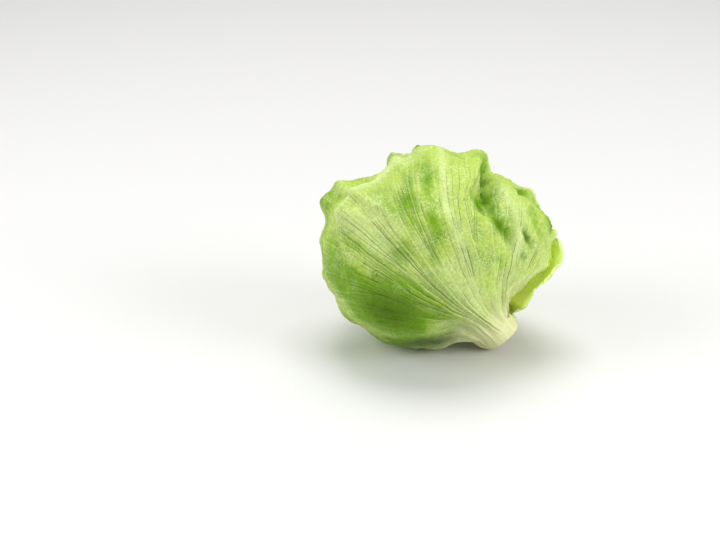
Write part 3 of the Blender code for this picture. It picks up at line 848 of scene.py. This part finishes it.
def make_leaf(name, outside, inside):
    leaf = LEAVES[name]
    bm, order, side, run = grid_mesh(*leaf["grid"])
    points, way = leaf_points(name, side, run)
    number = rib_number(leaf, side, run)
    rim = nearness(side, run)
    pale = lip_light = np.zeros(run.shape)
    if name == "front_leaf":
        # Along the fold's lip the rim value also carries a painted highlight
        points, fold_highlight = hang_fold(points, way)
        rim = np.maximum(rim, fold_highlight)
        pale = pale_ribs_and_crest_highlights(way)
    if name == "back_leaf":
        # The collar's pale lip, where its painted glow is also strongest
        from_edge = np.minimum(LIP_FADES[0] * (1.0 - run), LIP_FADES[1] * (1.0 + side))
        rim = np.maximum(rim, collar_window(way, *COLLAR_LIP) * (1.0 - from_edge))
        lip_light = from_near(rim, LIP_FROM)
    points, spacing = add_relief(leaf, points, run, number)
    points[..., 2] = np.maximum(points[..., 2], 0.0)
    place_vertices(bm, order, points)
    bm.normal_update()
    if sum((f.calc_center_median() - Vector(CENTRE)).dot(f.normal) for f in bm.faces) < 0:
        bmesh.ops.reverse_faces(bm, faces=bm.faces)
    made = as_object(name + "_blade", bm)
    middle, span, width = PLAIN_GREEN
    # On the front leaf: deep green that turns into painted shade past 0.8
    deep = green_depth_and_painted_shade(way) if name == "front_leaf" else middle + span * ripple(points, width, leaf["seed"])
    # The last value marks where the collar's inner face gets its painted glow
    add_attributes(made.data, order, dict(
        ribs=number, spacing=spacing * 1000.0, run=run, rim=rim, deep=np.clip(deep, 0.0, 2.0), pale=pale,
        painted_glow=under_collar(way) * (1.0 + lip_light), neck=1.0 - rising(from_stem_angle(way), *NECK_ENDS)))
    thicken(leaf, made, order, run)
    made.data.materials.append(outside)
    made.data.materials.append(inside)
    return made


# The inner head and the stem

# Under which depth the head lies, in layers, and the angle from the stem of its first ring past the hollow
HEAD_LAYERS = 5.0
FIRST_RING = 17.0

# Degrees from the stem over which the folds rise and the waves come in, and over how far a fold's edge falls
FOLD_RISES = (18.0, 10.0)
WAVES_COME = (20.0, 15.0)
FOLD_EDGE = 2.0

# The head's waves: height and width in metres and seed
HEAD_WAVE = (0.0005, 0.012, 41)

# The head's ribs for its pattern: how many run round it, how far they stray and the stray's width and seed,
# and how widely the pattern counts the space between them
HEAD_RIBS = 60.0
HEAD_RIB_STRAY = (0.4, 0.05, 42)
HEAD_SPACING = 6.0

# The head's green: middle, range, width of its patches in metres and seed, and where its pale neck ends
HEAD_GREEN = (0.2, 0.2, 0.05, 43)
HEAD_NECK = (12.0, 60.0)


def head_radius(way, from_stem):
    """The inner head's radius: a ball under the innermost leaf, with overlapping leaf folds raised on it."""
    radius = ball_radius(way, HEAD_LAYERS * LAYER + len(FOLDS) * FOLD_STEP, False, False)
    raised = np.zeros(way.shape[:-1])
    for fold_turn, fold_rise, fold_reach, count, size in FOLDS:
        away, angle = to_polar(dict(faces=(fold_turn, fold_rise)), way)
        edge = fold_reach + size * np.sin(np.radians(count * angle + fold_turn))
        raised += FOLD_STEP * ease((edge - away) / FOLD_EDGE)
    return radius + raised * rising(from_stem, *FOLD_RISES)


def head_points(bm):
    """The head's points, their turn round the stem and angle from it in degrees, and their radius."""
    start = np.array([v.co[:] for v in bm.verts])
    ring = np.round(np.degrees(np.arccos(np.clip(start[:, 2], -1, 1))) / 180.0 * HEAD_RINGS)
    angles = [angle for angle, _ in HOLLOW]
    angles += list(np.linspace(FIRST_RING, 180.0, HEAD_RINGS + 1 - len(HOLLOW)))
    from_stem = np.array(angles)[ring.astype(int)]
    turn = np.degrees(np.arctan2(start[:, 1], start[:, 0]))
    way = round_stem(turn, from_stem)
    radius = head_radius(way, from_stem)
    for index, (_, hollow) in enumerate(HOLLOW):
        radius = np.where(ring == index, hollow, radius)
    points = CENTRE + radius[:, None] * way
    height, width, seed = HEAD_WAVE
    waves = height * rising(from_stem, *WAVES_COME) * ripple(points, width, seed)
    return points + waves[:, None] * way, turn, from_stem, radius


def make_inner_head(material):
    bm = bmesh.new()
    bmesh.ops.create_uvsphere(bm, u_segments=HEAD_SIDES, v_segments=HEAD_RINGS, radius=1.0)
    points, turn, from_stem, radius = head_points(bm)
    for vertex, point in zip(bm.verts, points):
        vertex.co = point
    bmesh.ops.recalc_face_normals(bm, faces=bm.faces)
    made = as_object("inner_head_folds", bm)
    stray, stray_width, stray_seed = HEAD_RIB_STRAY
    middle, span, width, seed = HEAD_GREEN
    none = np.zeros(len(points))
    add_attributes(made.data, np.arange(len(points)), dict(
        ribs=turn / 360.0 * HEAD_RIBS + stray * ripple(points, stray_width, stray_seed),
        spacing=1000.0 * HEAD_SPACING * radius * np.sin(np.radians(from_stem)) / HEAD_RIBS,
        run=from_stem / 180.0, rim=none, pale=none,
        deep=np.clip(middle + span * ripple(points, width, seed), 0.0, 1.0),
        neck=1.0 - rising(from_stem, *HEAD_NECK)))
    made.data.materials.append(material)
    return made


def make_stem(material):
    bm = bmesh.new()
    outline = [bm.verts.new((radius, 0.0, height)) for height, radius in STEM_PROFILE]
    edges = [bm.edges.new(pair) for pair in zip(outline, outline[1:])]
    bmesh.ops.spin(bm, geom=outline + edges, cent=(0, 0, 0), axis=(0, 0, 1), angle=math.tau,
                   steps=STEM_SIDES, use_merge=True)
    bmesh.ops.remove_doubles(bm, verts=bm.verts, dist=1e-5)
    bmesh.ops.recalc_face_normals(bm, faces=bm.faces)
    turn = Vector((0.0, 0.0, 1.0)).rotation_difference(Vector(STEM_WAY)).to_matrix()
    bmesh.ops.rotate(bm, verts=bm.verts, cent=(0, 0, 0), matrix=turn)
    bmesh.ops.translate(bm, verts=bm.verts, vec=Vector(CENTRE))
    made = as_object("stem_core", bm)
    made.data.materials.append(material)
    return made


# Nodes

# Where a line starts to fade and where it ends, in its widths
LINE_EDGES = (0.3, 1.5)


def put(tree, kind, inputs=None, **settings):
    """A node with its settings and its inputs set or linked."""
    made = tree.nodes.new(kind)
    for name, value in settings.items():
        setattr(made, name, value)
    for key, value in (inputs or {}).items():
        socket = made.inputs[key]
        if isinstance(value, bpy.types.NodeSocket):
            tree.links.new(value, socket)
        else:
            socket.default_value = value
    return made


def math_of(tree, operation, *values):
    return put(tree, "ShaderNodeMath", dict(enumerate(values)), operation=operation).outputs[0]


def product(tree, first, *others):
    for other in others:
        first = math_of(tree, "MULTIPLY", first, other)
    return first


def noise_of(tree, place, scale, detail, kind="Fac", **inputs):
    given = {"Vector": place, "Scale": scale, "Detail": detail, **inputs}
    return put(tree, "ShaderNodeTexNoise", given).outputs[kind]


def fade_between(tree, value, start, end, first=0.0, last=1.0):
    """first up to start, last from end on, and smooth between."""
    made = put(tree, "ShaderNodeMapRange", {"Value": value, "From Min": start, "From Max": end,
                                            "To Min": first, "To Max": last},
               interpolation_type="SMOOTHSTEP")
    return made.outputs[0]


def blend_colour(tree, share, first, second, kind="MIX"):
    made = put(tree, "ShaderNodeMix", {0: share, 6: first, 7: second}, data_type="RGBA", blend_type=kind)
    return made.outputs[2]


def line_mask(tree, off, width):
    """1 on a line and 0 from one and a half widths away."""
    core, outside = LINE_EDGES
    return fade_between(tree, math_of(tree, "ABSOLUTE", off), core * width, outside * width, 1.0, 0.0)


def draw_for(tree, number, turn):
    """A random value between 0 and 1 for each whole number."""
    place = put(tree, "ShaderNodeCombineXYZ", {"X": number, "Y": turn}).outputs[0]
    return put(tree, "ShaderNodeTexWhiteNoise", {"Vector": place}, noise_dimensions="2D").outputs["Value"]


# The leaf pattern

# What the pattern reads from a mesh, which of the colours it is given, and what it puts out
MESH_VALUES = ("Ribs", "Spacing", "Run", "Rim", "Deep", "Pale", "Neck")
PATTERN_COLOURS = ("Light Green", "Deep Green", "Rib", "Line", "Neck Color", "Edge")

# Noises on the object in metres, each as scale and detail
LINE_STRAY = (90.0, 2.0)
LINE_BREAKS = (50.0, 3.0)
NET_STRAY = (150.0, 3.0)
NET_PATCHES = (60.0, 3.0)
CLOUDS = (75.0, 6.0)
CLOUD_ROUGHNESS = 0.65
SPECKLES = (480.0, 3.0)

# How far a line strays in millimetres, its breaks, the run over which it comes in and goes, and how much of
# it the neck leaves, each as the start and end of a fade and the values there
LINE_STRAYS = 0.8
BREAKS_FADE = (0.40, 0.56, 0.08, 1.0)
LINE_COMES = (0.10, 0.3)
LINE_GOES = (0.6, 0.9, 1.0, 0.2)
LEAFY_FADE = (0.35, 1.0, 1.0, 0.15)

# How strong the lines and the pale ribs are, from the faintest to the strongest, and the turns of the draws
LINE_FORCES = (0.25, 1.0)
LINE_DRAW = 0.0
RIB_FORCES = (0.2, 1.0)
RIB_DRAW = 5.0

# Width and strength of the branches' and the fine branches' lines beside the ribs', and their draws' turns
SPLIT_LINE = (0.8, 0.8, 0.0)
FINE_LINE = (0.7, 0.6, 0.7)

# The pale band beside a branch: how far off it lies, its width in millimetres and its strength
SPLIT_BAND = (0.9, 0.8, 0.7)
RIB_COMES_PALE = (0.0, 0.12)

# The net: cells for each rib and along the run, how far they stray, the width of its threads, where it is
# patchy, and the runs over which it comes and goes
NET_CELLS = (4.3, 125.0)
NET_STRAYS = (2.2, 2.2, 0.0)
NET_THREAD = (0.0, 0.2, 1.0, 0.0)
NET_PATCHY = (0.38, 0.62, 0.05, 1.0)
NET_COMES = (0.2, 0.45)
NET_GOES = (0.72, 0.92, 1.0, 0.35)

# The mottling in long strips: strips for each rib and along the run, and its noise
STRIPS = (0.8, 9.0)
MOTTLE = {"Scale": 1.0, "Detail": 6.0, "Roughness": 0.6, "Distortion": 0.6}

# How the green varies: by strips, by clouds, and from one strip between two ribs to the next
STRIP_TONES = (0.32, 0.68, -0.35, 0.35)
CLOUD_TONES = (0.35, 0.65, -0.22, 0.22)
RIB_TONES = 0.2
TONE_DRAW = 9.0

# How the deep green hides the net and the ribs, how streaked the neck's colour is, and how much of the colour
# below it each layer covers
DEEP_HIDES = (0.5, 1.4, 1.0, 0.12)
NECK_STREAKS = (0.38, 0.62, 0.7, 0.97)
NET_SHARE = 0.64
PALE_SHARE = 0.75
RIB_SHARES = (0.2, 0.9, 0.62, 0.3)
LINE_SHARE = 0.92
RIM_FADE = (0.965, 1.0, 0.0, 0.8)

# How the speckles lighten and darken the colour, and the painted shade on the deepest green
SPECKLE_SHADE = (-0.2, 0.2, 0.88, 1.08)
PAINTED_DEEP_SHADE = (0.8, 2.0, 1.0, 0.35)

# The height of each part of the pattern in the bump
RIB_HEIGHT = 0.35
NET_HEIGHT = 0.25
LINE_HEIGHT = -0.5
CLOUD_HEIGHT = 0.9
SPECKLE_HEIGHT = 0.15


def add_branch(tree, ribs, spacing, run, stray, leaves, level):
    """The distance to the branch in each cell of a numbering, in millimetres, and 1 where it shows."""
    first, span = leaves
    cell = math_of(tree, "FLOOR", ribs)
    draw = math_of(tree, "SINE", math_of(tree, "MULTIPLY_ADD", cell, DRAW_STEP, level))
    starts = math_of(tree, "MULTIPLY_ADD", draw, 0.5 * span, first + 0.5 * span)
    since = math_of(tree, "SUBTRACT", run, starts)
    spread = fade_between(tree, since, 0.0, BRANCH_SPREAD, 0.0, 0.5)
    turn = math_of(tree, "SINE", math_of(tree, "MULTIPLY_ADD", cell, SIDE_STEP, 1.0 + level))
    right = math_of(tree, "GREATER_THAN", turn, 0.0)
    target = put(tree, "ShaderNodeMix", {0: right, 2: math_of(tree, "SUBTRACT", 1.0, spread), 3: spread},
                 data_type="FLOAT").outputs[0]
    inside = math_of(tree, "SUBTRACT", math_of(tree, "SUBTRACT", ribs, cell), target)
    off = math_of(tree, "MULTIPLY_ADD", inside, spacing, stray)
    return off, fade_between(tree, since, 0.0, BRANCH_START)


def rib_layers(tree, given, place, leafy):
    """1 on the thin dark lines of painted shade in the grooves beside the ribs and on their branches, and 1
    on the pale ribs themselves.
    """
    ribs, spacing, run = given["Ribs"], given["Spacing"], given["Run"]
    stray = math_of(tree, "SUBTRACT", noise_of(tree, place, *LINE_STRAY), 0.5)
    stray = product(tree, stray, LINE_STRAYS)
    broken = fade_between(tree, noise_of(tree, place, *LINE_BREAKS), *BREAKS_FADE)
    broken = product(tree, broken, leafy, fade_between(tree, run, *LINE_COMES),
                     fade_between(tree, run, *LINE_GOES))
    whole = math_of(tree, "ROUND", ribs)
    off = math_of(tree, "MULTIPLY_ADD", math_of(tree, "SUBTRACT", ribs, whole), spacing, stray)
    force = fade_between(tree, draw_for(tree, whole, LINE_DRAW), 0.0, 1.0, *LINE_FORCES)
    line = product(tree, line_mask(tree, off, GROOVE_LINE), broken, force)
    width, strength, level = SPLIT_LINE
    split, shown = add_branch(tree, ribs, spacing, run, stray, BRANCHES, level)
    split_line = product(tree, line_mask(tree, split, width * GROOVE_LINE), broken, shown, strength)
    width, strength, level = FINE_LINE
    fine, fine_shown = add_branch(tree, product(tree, ribs, 2.0), product(tree, spacing, 0.5), run, stray,
                                  FINE_BRANCHES, level)
    fine_line = product(tree, line_mask(tree, fine, width * GROOVE_LINE), broken, fine_shown, strength)
    lines = math_of(tree, "MAXIMUM", math_of(tree, "MAXIMUM", line, split_line), fine_line)
    band = product(tree, fade_between(tree, off, -RIB_REACH, -GROOVE_LINE),
                   fade_between(tree, off, -GROOVE_LINE, 0.0, 1.0, 0.0),
                   fade_between(tree, draw_for(tree, whole, RIB_DRAW), 0.0, 1.0, *RIB_FORCES))
    beside, width, strength = SPLIT_BAND
    split_band = line_mask(tree, math_of(tree, "ADD", split, beside), width)
    split_band = product(tree, split_band, shown, strength)
    return lines, product(tree, math_of(tree, "MAXIMUM", band, split_band),
                          fade_between(tree, run, *RIB_COMES_PALE))


def grid_place(tree, given, across, along):
    """A flat place from the ribs' numbering and the run."""
    return put(tree, "ShaderNodeCombineXYZ", {"X": product(tree, given["Ribs"], across),
                                              "Y": product(tree, given["Run"], along)}).outputs[0]


def net_layer(tree, given, place):
    """1 on the threads of the net of veinlets."""
    stray = noise_of(tree, place, *NET_STRAY, kind="Color")
    even = grid_place(tree, given, *NET_CELLS)
    bent = put(tree, "ShaderNodeVectorMath", {0: stray, 1: NET_STRAYS, 2: even},
               operation="MULTIPLY_ADD").outputs[0]
    cells = put(tree, "ShaderNodeTexVoronoi", {"Vector": bent, "Scale": 1.0}, feature="DISTANCE_TO_EDGE",
                voronoi_dimensions="2D").outputs["Distance"]
    return product(tree, fade_between(tree, cells, *NET_THREAD),
                   fade_between(tree, noise_of(tree, place, *NET_PATCHES), *NET_PATCHY),
                   fade_between(tree, given["Run"], *NET_COMES), fade_between(tree, given["Run"], *NET_GOES))


def green_tone(tree, given, mottle, cloud):
    """How deep the green is, from 0 to 1."""
    draw = draw_for(tree, math_of(tree, "FLOOR", given["Ribs"]), TONE_DRAW)
    tone = math_of(tree, "ADD", given["Deep"], fade_between(tree, mottle, *STRIP_TONES))
    tone = math_of(tree, "ADD", tone, fade_between(tree, cloud, *CLOUD_TONES))
    tone = math_of(tree, "MULTIPLY_ADD", math_of(tree, "SUBTRACT", draw, 0.5), RIB_TONES, tone)
    return put(tree, "ShaderNodeClamp", {"Value": tone}).outputs[0]


def speckles_and_painted_shade(tree, given, speckle, leafy):
    """A grey that darkens the speckles, and paints shade on the deepest green in the pockets and on and under
    the belly.
    """
    grain = product(tree, math_of(tree, "SUBTRACT", speckle, 0.5), leafy)
    shade = product(tree, fade_between(tree, grain, *SPECKLE_SHADE),
                    fade_between(tree, given["Deep"], *PAINTED_DEEP_SHADE))
    return put(tree, "ShaderNodeCombineColor", {0: shade, 1: shade, 2: shade}).outputs[0]


def pattern_tree():
    """An empty node group with the leaf pattern's inputs and outputs."""
    tree = bpy.data.node_groups.new("leaf_pattern", "ShaderNodeTree")
    face = tree.interface
    for name in MESH_VALUES:
        face.new_socket(name=name, in_out="INPUT", socket_type="NodeSocketFloat")
    for name in PATTERN_COLOURS:
        face.new_socket(name=name, in_out="INPUT", socket_type="NodeSocketColor")
    face.new_socket(name="Color", in_out="OUTPUT", socket_type="NodeSocketColor")
    face.new_socket(name="Height", in_out="OUTPUT", socket_type="NodeSocketFloat")
    return tree, tree.nodes.new("NodeGroupInput").outputs


def make_leaf_pattern():
    """Mottled green under a net of veinlets, pale ribs and thin dark lines of painted groove shade, as a
    colour and a height.
    """
    tree, given = pattern_tree()
    run, deep = given["Run"], given["Deep"]
    place = put(tree, "ShaderNodeTexCoord").outputs["Object"]
    leafy = fade_between(tree, given["Neck"], *LEAFY_FADE)
    light = fade_between(tree, deep, *DEEP_HIDES)
    lines, veins = rib_layers(tree, given, place, leafy)
    veins = product(tree, veins, light)
    net = product(tree, net_layer(tree, given, place), light)
    mottle = put(tree, "ShaderNodeTexNoise", {"Vector": grid_place(tree, given, *STRIPS), **MOTTLE},
                 noise_dimensions="2D").outputs["Fac"]
    cloud = noise_of(tree, place, *CLOUDS, Roughness=CLOUD_ROUGHNESS)
    speckle = noise_of(tree, place, *SPECKLES)

    tone = green_tone(tree, given, mottle, cloud)
    colour = blend_colour(tree, tone, given["Light Green"], given["Deep Green"])
    streaks = product(tree, given["Neck"], fade_between(tree, mottle, *NECK_STREAKS))
    colour = blend_colour(tree, streaks, colour, given["Neck Color"])
    colour = blend_colour(tree, product(tree, net, NET_SHARE), colour, given["Edge"])
    # Pale broad ribs, and a painted highlight along the crests
    colour = blend_colour(tree, product(tree, given["Pale"], PALE_SHARE), colour, given["Rib"])
    vein_share = product(tree, veins, fade_between(tree, run, *RIB_SHARES))
    colour = blend_colour(tree, vein_share, colour, given["Rib"])
    # The thin dark lines: painted shade in the grooves beside the ribs
    colour = blend_colour(tree, product(tree, lines, LINE_SHARE), colour, given["Line"])
    # The edge colour: pale leaf margins and the collar's pale lip, and a painted highlight along the front
    # leaf's sharp fold
    colour = blend_colour(tree, fade_between(tree, given["Rim"], *RIM_FADE), colour, given["Edge"])
    # Multiplies in the speckles' grey and the painted shade of the deepest green
    colour = blend_colour(tree, 1.0, colour, speckles_and_painted_shade(tree, given, speckle, leafy), "MULTIPLY")

    height = product(tree, veins, RIB_HEIGHT)
    for layer, rise in ((net, NET_HEIGHT), (lines, LINE_HEIGHT), (product(tree, cloud, leafy), CLOUD_HEIGHT),
                        (product(tree, speckle, leafy), SPECKLE_HEIGHT)):
        height = math_of(tree, "MULTIPLY_ADD", layer, rise, height)
    put(tree, "NodeGroupOutput", {"Color": colour, "Height": height})
    return tree


# Materials

LEAF_BUMP = {"Distance": 0.0009, "Strength": 0.75}
LEAF_ROUGHNESS = 0.46
LEAF_SPECULAR = 0.14
STEM_BUMP = {"Distance": 0.0006, "Strength": 0.6}
STEM_ROUGHNESS = 0.55

# The stem's cut face: its noise as scale and detail, how far the noise bends its rings in metres, the radii
# over which the browned ring comes in and goes, its colours, and the moist middle's share
PITH_NOISE = (260.0, 4.0)
PITH_STRAYS = 0.004
RING_COMES = (0.0075, 0.0105)
RING_GOES = (0.0115, 0.0135, 1.0, 0.3)
PITH = (0.66, 0.66, 0.40, 1.0)
BROWNED = (0.42, 0.27, 0.11, 1.0)
MOIST = (0.74, 0.72, 0.50, 1.0)
MOIST_FADE = (0.4, 0.7, 0.0, 0.35)


def leaf_colours(light, deep, rib, line, neck, edge):
    return dict(zip(PATTERN_COLOURS, (light, deep, rib, line, neck, edge)))


# In each set the dark line colour is painted shade for the grooves beside the ribs
OUTER_COLOURS = leaf_colours(light=(0.51, 0.69, 0.120), deep=(0.19, 0.40, 0.003), rib=(0.76, 0.88, 0.39),
                             line=(0.10, 0.18, 0.006), neck=(0.97, 0.96, 0.58), edge=(0.82, 0.92, 0.50))
# The back leaf's inner face: its own yellow-green, made brighter still as painted light for the light that
# shines through the collar
INSIDE_COLOURS = leaf_colours(light=(0.72, 0.90, 0.030), deep=(0.56, 0.80, 0.010), rib=(0.74, 0.88, 0.10),
                              line=(0.40, 0.54, 0.01), neck=(0.78, 0.84, 0.20), edge=(0.84, 0.92, 0.45))
INNER_COLOURS = leaf_colours(light=(0.58, 0.74, 0.20), deep=(0.26, 0.48, 0.015), rib=(0.74, 0.82, 0.46),
                             line=(0.20, 0.30, 0.05), neck=(0.76, 0.80, 0.42), edge=(0.76, 0.86, 0.40))
HEART_COLOURS = leaf_colours(light=(0.66, 0.76, 0.26), deep=(0.46, 0.60, 0.10), rib=(0.78, 0.82, 0.52),
                             line=(0.36, 0.42, 0.12), neck=(0.78, 0.80, 0.52), edge=(0.76, 0.82, 0.42))


def new_material(name):
    material = bpy.data.materials.new(name)
    material.use_nodes = True
    return material, material.node_tree, material.node_tree.nodes["Principled BSDF"]


def make_leaf_material(name, pattern, colours, through, glow=0.0):
    """A leaf's finish: its pattern, a soft sheen and some light that comes through, and, where a glow is
    given, a painted glow where the collar flares.
    """
    material, tree, shader = new_material(name)
    leaf = put(tree, "ShaderNodeGroup", node_tree=pattern)
    for socket in MESH_VALUES:
        read = put(tree, "ShaderNodeAttribute", attribute_name=socket.lower())
        tree.links.new(read.outputs["Fac"], leaf.inputs[socket])
    for socket, colour in colours.items():
        leaf.inputs[socket].default_value = (*colour, 1.0)
    bump = put(tree, "ShaderNodeBump", {"Height": leaf.outputs["Height"], **LEAF_BUMP})
    tree.links.new(leaf.outputs["Color"], shader.inputs["Base Color"])
    tree.links.new(bump.outputs["Normal"], shader.inputs["Normal"])
    shader.inputs["Roughness"].default_value = LEAF_ROUGHNESS
    shader.inputs["Specular IOR Level"].default_value = LEAF_SPECULAR
    # Where a glow is given, the leaf's own colour shines out as a painted glow where the back leaf's collar
    # flares, strongest along its lip, standing in for light shining through it
    tree.links.new(leaf.outputs["Color"], shader.inputs["Emission Color"])
    if glow:
        painted_glow = put(tree, "ShaderNodeAttribute", attribute_name="painted_glow").outputs["Fac"]
        tree.links.new(product(tree, painted_glow, glow), shader.inputs["Emission Strength"])
    lit_through = put(tree, "ShaderNodeBsdfTranslucent", {"Color": leaf.outputs["Color"],
                                                          "Normal": bump.outputs["Normal"]})
    mix = put(tree, "ShaderNodeMixShader", {0: through, 1: shader.outputs[0], 2: lit_through.outputs[0]})
    tree.links.new(mix.outputs[0], tree.nodes["Material Output"].inputs["Surface"])
    return material


def distance_from_stem_axis(tree, place):
    centred = put(tree, "ShaderNodeVectorMath", {0: place, 1: tuple(CENTRE)}, operation="SUBTRACT").outputs[0]
    along = put(tree, "ShaderNodeVectorMath", {0: centred, 1: tuple(STEM_WAY)}, operation="DOT_PRODUCT")
    axis = put(tree, "ShaderNodeVectorMath", {0: tuple(STEM_WAY), "Scale": along.outputs["Value"]},
               operation="SCALE").outputs[0]
    across = put(tree, "ShaderNodeVectorMath", {0: centred, 1: axis}, operation="SUBTRACT").outputs[0]
    return put(tree, "ShaderNodeVectorMath", {0: across}, operation="LENGTH").outputs["Value"]


def make_stem_material():
    """Cut pith: pale, moist in the middle and browned in a ring near the skin."""
    material, tree, shader = new_material("stem")
    place = put(tree, "ShaderNodeTexCoord").outputs["Object"]
    noise = noise_of(tree, place, *PITH_NOISE)
    wobble = math_of(tree, "MULTIPLY_ADD", noise, PITH_STRAYS, distance_from_stem_axis(tree, place))
    ring = product(tree, fade_between(tree, wobble, *RING_COMES), fade_between(tree, wobble, *RING_GOES))
    colour = blend_colour(tree, ring, PITH, BROWNED)
    colour = blend_colour(tree, fade_between(tree, noise, *MOIST_FADE), colour, MOIST)
    bump = put(tree, "ShaderNodeBump", {"Height": noise, **STEM_BUMP})
    tree.links.new(colour, shader.inputs["Base Color"])
    tree.links.new(bump.outputs["Normal"], shader.inputs["Normal"])
    shader.inputs["Roughness"].default_value = STEM_ROUGHNESS
    return material


# The stage

# Each light's name, size in metres, power in watts, place, the spot it points at and colour
WHITE = (1.0, 1.0, 1.0)
LIGHTS = (
    ("overhead", 1.5, 35.0, (0.0, 0.7, 2.1), (0.0, 0.0, 0.0), (1.0, 0.99, 0.97)),
    ("right", 0.8, 13.0, (1.2, -0.6, 0.65), (0.0, 0.0, 0.07), WHITE),
    ("left", 0.8, 10.0, (-1.2, -0.4, 0.8), (0.0, 0.0, 0.09), WHITE),
)
ROOM_LIGHT = 0.40
FLOOR_SIZE = 4.0
FLOOR_COLOUR = (0.72, 0.72, 0.715, 1.0)
FLOOR_ROUGHNESS = 0.6


def add_light(name, size, power, at, aim, colour):
    lamp = bpy.data.lights.new(name, "AREA")
    lamp.energy = power
    lamp.size = size
    lamp.color = colour
    made = bpy.data.objects.new(name, lamp)
    bpy.context.scene.collection.objects.link(made)
    made.location = at
    made.rotation_euler = (Vector(aim) - Vector(at)).to_track_quat("-Z", "Y").to_euler()


def light_stage():
    scene = bpy.context.scene
    scene.view_settings.view_transform = "Standard"
    world = bpy.data.worlds.new("studio")
    world.use_nodes = True
    world.node_tree.nodes["Background"].inputs["Color"].default_value = (*WHITE, 1.0)
    world.node_tree.nodes["Background"].inputs["Strength"].default_value = ROOM_LIGHT
    scene.world = world
    for light in LIGHTS:
        add_light(*light)


def make_floor():
    bm = bmesh.new()
    bmesh.ops.create_grid(bm, x_segments=2, y_segments=2, size=FLOOR_SIZE)
    floor = as_object("floor", bm)
    material, _, shader = new_material("floor")
    shader.inputs["Base Color"].default_value = FLOOR_COLOUR
    shader.inputs["Roughness"].default_value = FLOOR_ROUGHNESS
    floor.data.materials.append(material)


def make_camera():
    rise = math.radians(CAMERA_RISE)
    back = Vector((0.0, -math.cos(rise), math.sin(rise)))
    up = Vector((0.0, math.sin(rise), math.cos(rise)))
    right = Vector((1.0, 0.0, 0.0))
    distance = PIXEL * PICTURE[0] * LENS / SENSOR
    place = Vector(CENTRE) + back * distance
    place -= right * (HEAD_AT[0] - PICTURE[0] / 2.0) * PIXEL
    place -= up * (PICTURE[1] / 2.0 - HEAD_AT[1]) * PIXEL
    lens = bpy.data.cameras.new("camera")
    lens.lens = LENS
    lens.sensor_width = SENSOR
    camera = bpy.data.objects.new("camera", lens)
    bpy.context.scene.collection.objects.link(camera)
    camera.matrix_world = Matrix.Translation(place) @ Matrix((right, up, back)).transposed().to_4x4()
    bpy.context.scene.camera = camera


def build():
    """Every piece with its finish, each in place of the plain solid of the same name."""
    pattern = make_leaf_pattern()
    outer = make_leaf_material("outer_leaf", pattern, OUTER_COLOURS, through=0.16)
    thin = make_leaf_material("thin_leaf", pattern, OUTER_COLOURS, through=0.35)
    inner = make_leaf_material("inner_leaf", pattern, INNER_COLOURS, through=0.18)
    # The back leaf's inner face, brightened and given a painted glow for the light that shines through its
    # collar
    inside = make_leaf_material("glowing_leaf_inside", pattern, INSIDE_COLOURS, through=0.45, glow=0.40)
    heart = make_leaf_material("heart", pattern, HEART_COLOURS, through=0.12)
    finishes = dict(front_leaf=outer, back_leaf=thin, left_leaf=inner, top_leaf=inner, lower_leaf=inner)
    pieces = {name: make_leaf(name, finish, inside if name == "back_leaf" else finish)
              for name, finish in finishes.items()}
    pieces["inner_head"] = make_inner_head(heart)
    pieces["stem"] = make_stem(make_stem_material())
    for name, piece in pieces.items():
        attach(piece, "root")
        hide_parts(name)


build()
make_floor()
make_camera()
light_stage()
